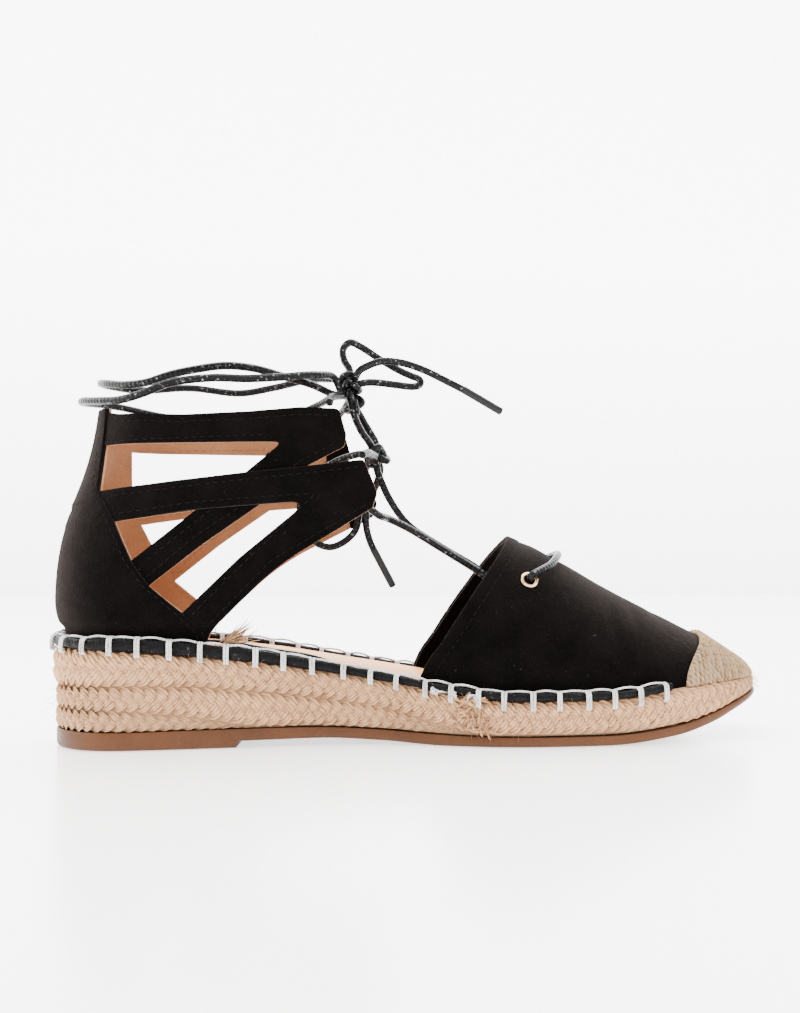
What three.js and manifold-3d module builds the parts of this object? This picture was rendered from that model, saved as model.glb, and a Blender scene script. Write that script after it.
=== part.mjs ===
// A lace-up espadrille on a low jute wedge, left foot, size about 38. Millimetres, +Z up.
// +X points at the toe, -Y is the inner (medial) side of the foot, +Y the outer side.
// Tables give x from the back of the heel; place() moves everything to the middle of the box.
import * as THREE from "three";
import { mergeVertices } from "three/addons/utils/BufferGeometryUtils.js";
import Module from "manifold-3d";

const wasm = await Module();
wasm.setup();

// ---- driving dimensions -------------------------------------------------------------------
const LENGTH = 250; // heel to toe over the jute
const GAP = 0.3; // air between two pieces that touch
const HEEL_ROUND = 27; // length of the rounded heel end of the outline
const BALL_X = 165; // the outline is widest here and closes from here to the toe
const HEEL_BREAST_X = 62; // front of the rubber heel block
const RUBBER_INSET = 1.2; // rubber outsole inside the jute's edge
const RAND_WIDTH = 3.4;
const RAND_HEIGHT = 4.3;
const RAND_FRONT_X = 208; // the black binding stops at the jute toe cap
const UPPER_INSET = 4.2; // foot of the upper, inside the jute's edge
const WALL = 1.8; // suede, backing and lining together
const INSOLE_THICKNESS = 2.3;
const QUARTER_FRONT_X = 118; // the quarter's grid ends here and is then trimmed
const CAP_THICKNESS = 1.9;
const CAP_CENTRE_X = 225.5; // back edge of the toe cap on the ridge
const CAP_SIDE_X = 210; // and where it meets the sole
const CAP_HALF_WIDTH = 33;
const EYELET = { x: 161, z: 55, bore: 1.75, barrel: 2.2, flange: 3.1 };
const LACE_DIAMETER = 2.6;

// ---- tables -------------------------------------------------------------------------------
// Plan outline of the jute: middle of the section and its half width, before the round ends.
const OUTLINE = [
  { x: 0, centre: 0, half: 28.6 },
  { x: 30, centre: 0, half: 29 },
  { x: 60, centre: 0.5, half: 28 },
  { x: 92, centre: 1.5, half: 26.6 },
  { x: 110, centre: 1.4, half: 28.4 },
  { x: 126, centre: 1.2, half: 32.4 },
  { x: 140, centre: 0.8, half: 36.8 },
  { x: 152, centre: 0.4, half: 39.6 },
  { x: 165, centre: 0, half: 40.6 },
  { x: 195, centre: -1.2, half: 40.6 },
  { x: 225, centre: -3, half: 40.6 },
  { x: 250, centre: -4, half: 40.6 },
];

// Heights along the sole: underside ahead of the heel block, top of the rubber, the two seams
// between the three tiers of braid, and the top of the jute.
const SOLE = [
  { x: 0, under: 2.2, rubber: 6.2, seamLow: 13.7, seamHigh: 20.6, jute: 33.4 },
  { x: 27, under: 2.2, rubber: 5.9, seamLow: 12.7, seamHigh: 20.8, jute: 32.0 },
  { x: 47, under: 2.2, rubber: 6.1, seamLow: 10.9, seamHigh: 20.4, jute: 30.2 },
  { x: 68, under: 2.2, rubber: 6.2, seamLow: 7.2, seamHigh: 18.4, jute: 28.0 },
  { x: 89, under: 2.3, rubber: 6.0, seamLow: 5.0, seamHigh: 15.9, jute: 24.8 },
  { x: 110, under: 1.4, rubber: 5.0, seamLow: 3.0, seamHigh: 12.6, jute: 21.3 },
  { x: 132, under: 0, rubber: 3.6, seamLow: 1.0, seamHigh: 6.8, jute: 17.4 },
  { x: 155, under: 0, rubber: 3.2, seamLow: 0, seamHigh: 2.0, jute: 14.9 },
  { x: 187, under: 0, rubber: 3.3, seamLow: 0, seamHigh: 0, jute: 15.2 },
  { x: 211, under: 2.2, rubber: 5.5, seamLow: 0, seamHigh: 0, jute: 17.8 },
  { x: 225, under: 5.6, rubber: 8.7, seamLow: 0, seamHigh: 0, jute: 19.2 },
  { x: 237, under: 9.8, rubber: 12.4, seamLow: 0, seamHigh: 0, jute: 19.8 },
  { x: 250, under: 13.8, rubber: 15.6, seamLow: 0, seamHigh: 0, jute: 20.0 },
];

// Back of the counter: how far it stands in from the jute's back edge at each height, and how
// much of the way the section has gone from the wide heel seat to the narrow collar.
const COUNTER = [
  { z: 28, back: 4.4, narrowing: 0, sideInset: 4.2 },
  { z: 35, back: 4.3, narrowing: 0, sideInset: 4.2 },
  { z: 38.5, back: 4.1, narrowing: 0, sideInset: 3.9 },
  { z: 42, back: 1.8, narrowing: 0.01, sideInset: 2.0 },
  { z: 48, back: 0.9, narrowing: 0.04, sideInset: 1.2 },
  { z: 56, back: 1.2, narrowing: 0.11, sideInset: 1.1 },
  { z: 64, back: 2.1, narrowing: 0.2, sideInset: 1.1 },
  { z: 72, back: 3.7, narrowing: 0.3, sideInset: 1.1 },
  { z: 81, back: 6.4, narrowing: 0.43, sideInset: 1.1 },
  { z: 90, back: 9.6, narrowing: 0.58, sideInset: 1.1 },
  { z: 99, back: 12.1, narrowing: 0.75, sideInset: 1.1 },
  { z: 107, back: 13.6, narrowing: 0.9, sideInset: 1.1 },
  { z: 116, back: 14.8, narrowing: 1.06, sideInset: 1.1 },
];
// Half width of the collar at its top edge.
const COLLAR = [
  { x: 0, half: 15.5 },
  { x: 20, half: 17 },
  { x: 32, half: 19.5 },
  { x: 50, half: 23 },
  { x: 75, half: 26 },
  { x: 100, half: 27 },
  { x: 120, half: 27 },
];
const HEEL_ROUND_LOW = 26; // length of the rounded back of the section at the heel seat
const HEEL_ROUND_TOP = 17; // and at the collar

// Ridge of the vamp from behind the throat to the toe.
const RIDGE = [
  { x: 116, z: 84 },
  { x: 136, z: 79 },
  { x: 156, z: 71.2 },
  { x: 167, z: 66.2 },
  { x: 178, z: 60.6 },
  { x: 190, z: 53.6 },
  { x: 201, z: 47.8 },
  { x: 213, z: 41.8 },
  { x: 225, z: 35.6 },
  { x: 236, z: 28.6 },
  { x: 243, z: 23.9 },
  { x: 245.8, z: 20.3 },
];
// Throat edge seen from the side.
const THROAT = [
  { x: 122.5, z: 12 },
  { x: 124, z: 24 },
  { x: 131, z: 35 },
  { x: 139.5, z: 48 },
  { x: 149.4, z: 62 },
  { x: 155, z: 69.5 },
  { x: 158.4, z: 74 },
];

// Quarter seen from the side. The collar line, then the front ends of the straps and down the
// lower strap to the sole.
const COLLAR_LINE = [
  { x: -4, z: 113.4 },
  { x: 14.4, z: 113 },
  { x: 24, z: 110.6 },
  { x: 46, z: 110 },
  { x: 67, z: 111 },
  { x: 84, z: 112.6 },
  { x: 96.6, z: 112.3 },
];
const STRAP_FRONTS = [
  { x: 99, z: 103.8, round: 3 },
  { x: 98.4, z: 99.8, round: 1 },
  { x: 86, z: 93.2, round: 1.5 },
  { x: 104.8, z: 95.6, round: 1.5 },
  { x: 109.2, z: 84.6, round: 3 },
  { x: 107.6, z: 79.4, round: 2 },
  { x: 75.7, z: 59.6, round: 20 },
  { x: 54.5, z: 37.5, round: 1 },
  { x: 51, z: 20, round: 1 },
];
// Windows between the straps on the inner side, each corner with its radius. On the outer side
// they sit a little further back and higher.
const OUTER_SHIFT = { x: -2, z: 1.2 };
const WINDOWS = {
  upper: [
    { x: 22.1, z: 98.8, round: 2 },
    { x: 75.8, z: 100.9, round: 2 },
    { x: 66.2, z: 90.8, round: 3 },
    { x: 42, z: 87.6, round: 30 },
    { x: 20.8, z: 85, round: 2 },
  ],
  rear: [
    { x: 24.8, z: 74.5, round: 1.5 },
    { x: 50.6, z: 78.4, round: 2 },
    { x: 29.7, z: 61.2, round: 1.5 },
  ],
  lower: [
    { x: 36, z: 53.6, round: 1.5 },
    { x: 46.2, z: 44.4, round: 1.5 },
    { x: 64, z: 62.4, round: 60 },
    { x: 86.6, z: 81.6, round: 2.5 },
    { x: 70.2, z: 80.2, round: 2 },
    { x: 52.4, z: 68.2, round: 60 },
  ],
};

// ---- interpolation and outlines -----------------------------------------------------------
// Smooth value of a named column between the rows of a table, never past its neighbours.
function column(rows, key, name, at) {
  const last = rows.length - 1;
  if (at <= rows[0][key]) return rows[0][name];
  if (at >= rows[last][key]) return rows[last][name];
  const i = rows.findIndex((row) => row[key] > at) - 1;
  const secant = (k) => (rows[k + 1][name] - rows[k][name]) / (rows[k + 1][key] - rows[k][key]);
  const slope = (k) => {
    if (k === 0) return secant(0);
    if (k === last) return secant(last - 1);
    const [before, after] = [secant(k - 1), secant(k)];
    return before * after <= 0 ? 0 : (2 * before * after) / (before + after);
  };
  const span = rows[i + 1][key] - rows[i][key];
  const t = (at - rows[i][key]) / span;
  const rise = t * t * (3 - 2 * t);
  const lead = t * (1 - t) * (1 - t) * slope(i) * span;
  const tail = t * t * (t - 1) * slope(i + 1) * span;
  return rows[i][name] * (1 - rise) + rows[i + 1][name] * rise + lead + tail;
}

const soleHeight = (name, x) => column(SOLE, "x", name, x);
const juteTop = (x) => soleHeight("jute", x);

// Rounded ends: 0 at the tips of the outline and 1 along its middle.
function endRounding(x) {
  const heel = Math.max(0, 1 - x / HEEL_ROUND);
  const toe = Math.max(0, (x - BALL_X) / (LENGTH - BALL_X));
  const heelPart = Math.max(0, 1 - heel ** 2.3) ** (1 / 2.1);
  const toePart = Math.max(0, 1 - toe ** 2.3) ** 0.56;
  return heelPart * toePart;
}

// Half width of the outline at x when it is drawn in by inset all round.
function halfWidth(x, inset) {
  const along = ((x - inset) * LENGTH) / (LENGTH - 2 * inset);
  const held = Math.min(LENGTH, Math.max(0, along));
  return (column(OUTLINE, "x", "half", held) - inset) * endRounding(held);
}
const centreY = (x) => column(OUTLINE, "x", "centre", x);

// Closed plan loop: along the inner side from heel to toe and back along the outer side.
// The stations are fractions of the length, close together at the round ends.
const STATION_COUNT = 36;
const STEP_STATIONS = [5, HEEL_BREAST_X, HEEL_BREAST_X + 0.5, 132, 187].map((x) => x / LENGTH);
const STATIONS = Array.from({ length: STATION_COUNT + 1 }, (_, i) => {
  const t = i / STATION_COUNT;
  return 0.3 * t + 0.7 * 0.5 * (1 - Math.cos(Math.PI * t));
})
  .filter((t) => STEP_STATIONS.every((step) => Math.abs(step - t) > 0.008))
  .concat(STEP_STATIONS)
  .sort((a, b) => a - b);

function planLoop(inset, height) {
  const along = STATIONS.map((t) => inset + t * (LENGTH - 2 * inset));
  const point = (x, side, i) => {
    const y = centreY(x) + side * halfWidth(x, inset);
    return new THREE.Vector3(x, y, height(x, i));
  };
  const inner = along.map((x, i) => point(x, -1, i));
  const outer = along.slice(1, -1).map((x, i) => point(x, 1, i + 1));
  return inner.concat(outer.reverse());
}

// ---- meshes and solids --------------------------------------------------------------------
function solid(geometry) {
  const bare = geometry.index ? geometry.toNonIndexed() : geometry.clone();
  bare.deleteAttribute("normal");
  bare.deleteAttribute("uv");
  const merged = mergeVertices(bare, 1e-4);
  const triVerts = [];
  for (let i = 0; i < merged.index.count; i += 3) {
    const [a, b, c] = [0, 1, 2].map((k) => merged.index.getX(i + k));
    if (a !== b && b !== c && c !== a) triVerts.push(a, b, c);
  }
  const mesh = new wasm.Mesh({
    numProp: 3,
    vertProperties: merged.attributes.position.array,
    triVerts: new Uint32Array(triVerts),
  });
  return new wasm.Manifold(mesh);
}

function geometryOf(manifold) {
  const mesh = manifold.getMesh();
  const positions = new Float32Array(mesh.numVert * 3);
  for (let i = 0; i < mesh.numVert; i++) {
    const from = i * mesh.numProp;
    positions.set(mesh.vertProperties.subarray(from, from + 3), i * 3);
  }
  const geometry = new THREE.BufferGeometry();
  geometry.setAttribute("position", new THREE.BufferAttribute(positions, 3));
  geometry.setIndex(new THREE.BufferAttribute(mesh.triVerts, 1));
  geometry.computeVertexNormals();
  return geometry;
}

// Closed solid from triangles given as corner points, turned to face outwards.
function closed(triangles) {
  const points = triangles.flat();
  const volume = triangles.reduce((sum, [a, b, c]) => sum + a.dot(b.clone().cross(c)), 0);
  if (volume < 0) points.reverse();
  return solid(new THREE.BufferGeometry().setFromPoints(points));
}

const quad = (a, b, c, d) => [[a, b, c], [a, c, d]];

// Walls between successive loops; the first and last loops are closed by strips across.
function stackedLoops(loops) {
  const count = loops[0].length;
  const triangles = [];
  for (let j = 0; j + 1 < loops.length; j++)
    for (let i = 0; i < count; i++) {
      const next = (i + 1) % count;
      triangles.push(...quad(loops[j][i], loops[j][next], loops[j + 1][next], loops[j + 1][i]));
    }
  const across = (loop, flip) => {
    for (let i = 0; i < count / 2; i++) {
      const [a, b] = [loop[i], loop[i + 1]];
      const [c, d] = [loop[(count - i - 1) % count], loop[(count - i) % count]];
      const strip = [[a, c, b], [a, d, c]];
      triangles.push(...(flip ? strip.map(([p, q, r]) => [p, r, q]) : strip));
    }
  };
  across(loops[0], false);
  across(loops.at(-1), true);
  return closed(triangles);
}

// Wall between two grids of the same size, with its four rims.
function wallBetween(outside, inside) {
  const rows = outside.length;
  const columns = outside[0].length;
  const triangles = [];
  for (let i = 0; i + 1 < rows; i++)
    for (let j = 0; j + 1 < columns; j++) {
      const cell = (g) => [g[i][j], g[i][j + 1], g[i + 1][j + 1], g[i + 1][j]];
      triangles.push(...quad(...cell(outside)), ...quad(...cell(inside).reverse()));
    }
  const rim = (a, b, c, d) => triangles.push(...quad(a, b, c, d));
  for (let j = 0; j + 1 < columns; j++) {
    rim(outside[0][j + 1], outside[0][j], inside[0][j], inside[0][j + 1]);
    const end = rows - 1;
    rim(outside[end][j], outside[end][j + 1], inside[end][j + 1], inside[end][j]);
  }
  for (let i = 0; i + 1 < rows; i++) {
    rim(outside[i][0], outside[i + 1][0], inside[i + 1][0], inside[i][0]);
    const end = columns - 1;
    rim(outside[i + 1][end], outside[i][end], inside[i][end], inside[i + 1][end]);
  }
  return closed(triangles);
}

// Polygon with rounded corners; a corner's radius is cut down where its sides are short.
function roundedShape(corners) {
  const shape = new THREE.Shape();
  const point = (k) => {
    const corner = corners[(k + corners.length) % corners.length];
    return new THREE.Vector2(corner.x, corner.z);
  };
  corners.forEach((corner, k) => {
    const here = point(k);
    const before = point(k - 1).sub(here);
    const after = point(k + 1).sub(here);
    const turn = Math.abs(before.angleTo(after));
    const wanted = corner.round / Math.tan(turn / 2);
    const reach = Math.min(wanted, before.length() * 0.45, after.length() * 0.45);
    const start = here.clone().add(before.setLength(reach));
    const stop = here.clone().add(after.setLength(reach));
    if (k === 0) shape.moveTo(start.x, start.y);
    else shape.lineTo(start.x, start.y);
    shape.quadraticCurveTo(here.x, here.y, stop.x, stop.y);
  });
  shape.closePath();
  return shape;
}

// A shape drawn in x and z, cut through one side of the shoe (-1 inner, 1 outer) or both (0).
function sidewaysCutter(shape, side = 0, curveSegments = 3) {
  const depth = side === 0 ? 120 : 60;
  const geometry = new THREE.ExtrudeGeometry(shape, { depth, bevelEnabled: false, curveSegments });
  geometry.rotateX(Math.PI / 2).translate(0, side === 0 ? depth / 2 : side > 0 ? depth : 0, 0);
  return solid(geometry);
}

function tube(points, diameter, stepLength = 2.6 * diameter, sides = 8) {
  const path = new THREE.CatmullRomCurve3(points, false, "centripetal");
  const section = new THREE.Shape();
  section.absarc(0, 0, diameter / 2, 0, 2 * Math.PI, false);
  const steps = Math.min(80, Math.max(4, Math.round(path.getLength() / stepLength)));
  const options = { steps, extrudePath: path, curveSegments: sides / 2 };
  return solid(new THREE.ExtrudeGeometry(section, options));
}

// ---- sole ---------------------------------------------------------------------------------
const underside = (x) => (x <= HEEL_BREAST_X ? 0 : soleHeight("under", x));

function makeOutsole() {
  const edge = 0.8; // softened lower edge
  // The breast is one step between two stations, whatever the inset moves them by.
  const atStation = (x, i) => underside(STATIONS[i] * LENGTH);
  return stackedLoops([
    planLoop(RUBBER_INSET + edge, atStation),
    planLoop(RUBBER_INSET, (x, i) => atStation(x, i) + edge),
    planLoop(RUBBER_INSET, (x) => soleHeight("rubber", x)),
  ]);
}

// Three tiers of braid: each bulges, and a tier that runs out is left a sliver high.
function makeMidsole() {
  const sliver = 0.4;
  const bottom = (x) => soleHeight("rubber", x) + GAP;
  const seamLow = (x) => Math.max(bottom(x) + sliver, soleHeight("seamLow", x));
  const seamHigh = (x) => Math.max(seamLow(x) + sliver, soleHeight("seamHigh", x));
  const levels = [bottom, seamLow, seamHigh, juteTop];
  const grooves = [1.6, 1.7, 1.7, 2.2]; // inset at the foot, the two seams and the top edge
  const loops = [];
  for (let tier = 0; tier < 3; tier++) {
    const [low, high] = [levels[tier], levels[tier + 1]];
    loops.push(planLoop(grooves[tier], low));
    for (const part of [0.3, 0.7])
      loops.push(planLoop(0, (x) => low(x) + part * (high(x) - low(x))));
  }
  loops.push(planLoop(grooves[3], juteTop));
  return stackedLoops(loops);
}

function makeInsole() {
  const inset = UPPER_INSET + WALL + GAP + 0.1;
  const edge = 0.7;
  const top = (x) => juteTop(x) + GAP + INSOLE_THICKNESS;
  const board = stackedLoops([
    planLoop(inset, (x) => juteTop(x) + GAP),
    planLoop(inset, (x) => top(x) - edge),
    planLoop(inset + edge, top),
  ]);
  // Its tip is trimmed where the toe of the vamp closes down over it.
  return board.subtract(wallBetween(vampGrid(1), vampGrid(-WALL - GAP)));
}

// Binding round the top edge of the jute, open at the toe cap.
function makeRand() {
  const corner = 1.1;
  const outer = 0.1;
  const inner = outer + RAND_WIDTH;
  const foot = GAP;
  const head = GAP + RAND_HEIGHT;
  const section = [
    [inner, foot],
    [outer + 0.5 * corner, foot],
    [outer, head - corner],
    [outer + corner, head],
    [inner - corner, head],
    [inner, head - corner],
  ];
  const rings = section.map(([inset, lift]) => planLoop(inset, (x) => juteTop(x) + lift));
  const count = rings[0].length;
  const triangles = [];
  rings.forEach((ring, k) => {
    const next = rings[(k + 1) % rings.length];
    for (let i = 0; i < count; i++) {
      const j = (i + 1) % count;
      triangles.push(...quad(ring[i], ring[j], next[j], next[i]));
    }
  });
  const toeEnd = [
    { x: RAND_FRONT_X, z: -10 },
    { x: LENGTH + 10, z: -10 },
    { x: LENGTH + 10, z: 60 },
    { x: RAND_FRONT_X, z: 60 },
  ];
  const shape = new THREE.Shape(toeEnd.map(({ x, z }) => new THREE.Vector2(x, z)));
  return closed(triangles).subtract(sidewaysCutter(shape));
}

// ---- vamp and toe cap ---------------------------------------------------------------------
const RIDGE_CURVE = new THREE.CatmullRomCurve3(
  RIDGE.map(({ x, z }) => new THREE.Vector3(x, 0, z)),
  false,
  "centripetal",
);
const UPPER_FOOT = GAP; // the upper stands this far above the jute

// Point of the vamp: along 0..1 from behind the throat to the toe, around 0..1 from the inner
// side over the ridge to the outer side, raised by lift along the surface's normal.
function vampPoint(along, around) {
  const ridge = RIDGE_CURVE.getPointAt(along);
  const x = ridge.x;
  const foot = juteTop(x) + UPPER_FOOT;
  const angle = Math.PI * around;
  const half = halfWidth(x, UPPER_INSET);
  const height = along === 1 ? 0 : ridge.z - foot;
  const y = centreY(x) - half * Math.cos(angle);
  return new THREE.Vector3(x, y, foot + height * Math.sin(angle));
}

function vampNormal(along, around) {
  const step = 0.004;
  const [a0, a1] = [Math.max(0, along - step), Math.min(0.999, along + step)];
  const [b0, b1] = [Math.max(0.002, around - step), Math.min(0.998, around + step)];
  const forward = vampPoint(a1, around).sub(vampPoint(a0, around));
  const over = vampPoint(along, b1).sub(vampPoint(along, b0));
  const normal = forward.cross(over).normalize();
  if (around === 0 || around === 1) normal.setZ(0).normalize();
  return normal;
}

function vampGrid(lift) {
  const rows = 18;
  const columns = 18;
  const grid = [];
  for (let i = 0; i <= rows; i++) {
    const t = i / rows;
    const along = 0.35 * t + 0.65 * Math.sin((Math.PI / 2) * t);
    const row = [];
    for (let j = 0; j <= columns; j++) {
      const around = j / columns;
      if (i === rows) row.push(vampPoint(1, 0.5).add(new THREE.Vector3(lift, 0, 0)));
      else row.push(vampPoint(along, around).addScaledVector(vampNormal(along, around), lift));
    }
    grid.push(row);
  }
  return grid;
}

function throatCutter() {
  const shape = new THREE.Shape();
  shape.moveTo(60, 0);
  shape.lineTo(THROAT[0].x, 0);
  shape.splineThru(THROAT.map(({ x, z }) => new THREE.Vector2(x, z)));
  shape.lineTo(158, 130);
  shape.lineTo(60, 130);
  shape.closePath();
  return sidewaysCutter(shape);
}

// Where the ridge curve passes x, as a fraction of its length.
function alongAt(x) {
  let [low, high] = [0, 1];
  for (let i = 0; i < 40; i++) {
    const middle = (low + high) / 2;
    if (RIDGE_CURVE.getPointAt(middle).x < x) low = middle;
    else high = middle;
  }
  return low;
}

// Eyelet seat: a point of the vamp at the eyelet's height and the outward direction there.
function eyeletSeat(side) {
  const along = alongAt(EYELET.x);
  const foot = juteTop(EYELET.x) + UPPER_FOOT;
  const rise = (EYELET.z - foot) / (RIDGE_CURVE.getPointAt(along).z - foot);
  const inner = Math.asin(rise) / Math.PI;
  const around = side < 0 ? inner : 1 - inner;
  return { centre: vampPoint(along, around), out: vampNormal(along, around), along, around };
}

// Turns a solid of revolution about Y to stand on a seat.
function onSeat(geometry, seat) {
  const turn = new THREE.Quaternion().setFromUnitVectors(new THREE.Vector3(0, 1, 0), seat.out);
  geometry.applyQuaternion(turn);
  geometry.translate(seat.centre.x, seat.centre.y, seat.centre.z);
  return solid(geometry);
}

function makeVamp() {
  let vamp = wallBetween(vampGrid(0), vampGrid(-WALL)).subtract(throatCutter());
  for (const side of [-1, 1]) {
    const hole = new THREE.CylinderGeometry(EYELET.barrel + GAP, EYELET.barrel + GAP, 12, 16);
    vamp = vamp.subtract(onSeat(hole, eyeletSeat(side)));
  }
  return vamp;
}

function makeToeCap() {
  const shell = wallBetween(vampGrid(GAP + CAP_THICKNESS), vampGrid(GAP));
  const reach = 50;
  const edge = [];
  for (let k = 0; k <= 24; k++) {
    const y = -reach + (2 * reach * k) / 24;
    const sideways = Math.abs(y - centreY(CAP_SIDE_X)) / CAP_HALF_WIDTH;
    const sweep = (CAP_CENTRE_X - CAP_SIDE_X) * Math.min(1.15, sideways ** 2.8);
    edge.push(new THREE.Vector2(CAP_CENTRE_X - sweep, y));
  }
  edge.push(new THREE.Vector2(LENGTH + 20, reach), new THREE.Vector2(LENGTH + 20, -reach));
  const front = new THREE.ExtrudeGeometry(new THREE.Shape(edge), { depth: 90, bevelEnabled: false });
  return shell.intersect(solid(front));
}

function makeEyelet(side) {
  const seat = eyeletSeat(side);
  const { bore, barrel, flange } = EYELET;
  const lift = GAP + 0.12; // clears the curve of the vamp under the flange
  const profile = [
    [bore, -WALL - 0.4],
    [barrel, -WALL - 0.4],
    [barrel, lift],
    [flange, lift],
    [flange, lift + 0.3],
    [flange - 0.5, lift + 0.7],
    [bore + 0.3, lift + 0.7],
    [bore, lift + 0.4],
    [bore, -WALL - 0.4],
  ];
  const outline = profile.map(([r, h]) => new THREE.Vector2(r, h));
  return onSeat(new THREE.LatheGeometry(outline, 14), seat);
}

// ---- quarter ------------------------------------------------------------------------------
// Half of a level section of the quarter: step 0 at the middle of the back, then round the heel
// and forward along the side to QUARTER_FRONT_X.
const BACK_STEPS = 8;
const SIDE_STEPS = 6;

function quarterPoint(z, step, side) {
  const of = (name) => column(COUNTER, "z", name, z);
  const [back, narrowing, sideInset] = [of("back"), of("narrowing"), of("sideInset")];
  const roundLength = HEEL_ROUND_LOW + (HEEL_ROUND_TOP - HEEL_ROUND_LOW) * narrowing;
  const angle = (Math.PI / 2) * Math.min(1, step / BACK_STEPS);
  const forward = Math.max(0, step - BACK_STEPS) / SIDE_STEPS;
  const roundEnd = back + roundLength;
  const x = roundEnd - roundLength * Math.cos(angle) + forward * (QUARTER_FRONT_X - roundEnd);
  const low = column(OUTLINE, "x", "half", x) - sideInset;
  const top = column(COLLAR, "x", "half", x);
  const half = (low + (top - low) * narrowing) * Math.sin(angle) ** 0.92;
  return new THREE.Vector3(x, centreY(x) * (1 - narrowing) + side * half, z);
}

function quarterNormal(z, step, side) {
  const last = BACK_STEPS + SIDE_STEPS;
  if (step === 0) {
    const up = quarterPoint(z + 0.5, 0, side).sub(quarterPoint(z - 0.5, 0, side));
    return new THREE.Vector3(-up.z, 0, up.x).normalize();
  }
  const [s0, s1] = [Math.max(0.02, step - 0.1), Math.min(last, step + 0.1)];
  const round = quarterPoint(z, s1, side).sub(quarterPoint(z, s0, side));
  const up = quarterPoint(z + 0.5, step, side).sub(quarterPoint(z - 0.5, step, side));
  return round.cross(up).multiplyScalar(side > 0 ? -1 : 1).normalize();
}

function quarterGrid(lift) {
  const last = BACK_STEPS + SIDE_STEPS;
  const levels = [28, 34, 37, 40, 43.5, 49, 57, 65, 74, 83, 91, 99, 107, 115];
  return levels.map((z) => {
    const row = [];
    for (let k = -last; k <= last; k++) {
      const side = k < 0 ? -1 : 1;
      const point = quarterPoint(z, Math.abs(k), side);
      row.push(point.addScaledVector(quarterNormal(z, Math.abs(k), side), lift));
    }
    return row;
  });
}

function quarterOutline() {
  const start = [{ x: -8, z: 20, round: 0 }, { x: -8, z: 113.4, round: 0 }];
  const collar = COLLAR_LINE.map((row) => ({ ...row, round: 6 }));
  const front = { ...collar.pop(), round: 2 };
  return roundedShape([...start, ...collar, front, ...STRAP_FRONTS]);
}

function makeQuarter() {
  let quarter = wallBetween(quarterGrid(0), quarterGrid(-WALL));
  quarter = quarter.intersect(sidewaysCutter(quarterOutline()));
  for (const corners of Object.values(WINDOWS)) {
    const moved = corners.map(({ x, z, round }) => {
      return { x: x + OUTER_SHIFT.x, z: z + OUTER_SHIFT.z, round };
    });
    quarter = quarter.subtract(sidewaysCutter(roundedShape(corners), -1));
    quarter = quarter.subtract(sidewaysCutter(roundedShape(moved), 1));
  }
  // The foot of the wall follows the top of the jute.
  const foot = planLoop(-6, (x) => juteTop(Math.min(LENGTH, Math.max(0, x))) + UPPER_FOOT);
  const below = planLoop(-6, () => -5);
  return quarter.subtract(stackedLoops([below, foot]));
}

// ---- laces --------------------------------------------------------------------------------
// One waxed lace. The part that crosses the vamp through the two eyelets is fixed; the knots,
// the two turns round the ankle, the bow loops and the ends are free cord.
const KNOTS = {
  lace_knot_upper: { at: [99.5, -3, 124.5], size: [5.2, 5.6, 5.2] },
  lace_knot_lower: { at: [109, 0, 99.7], size: [4.6, 4.8, 4.6] },
};

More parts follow.
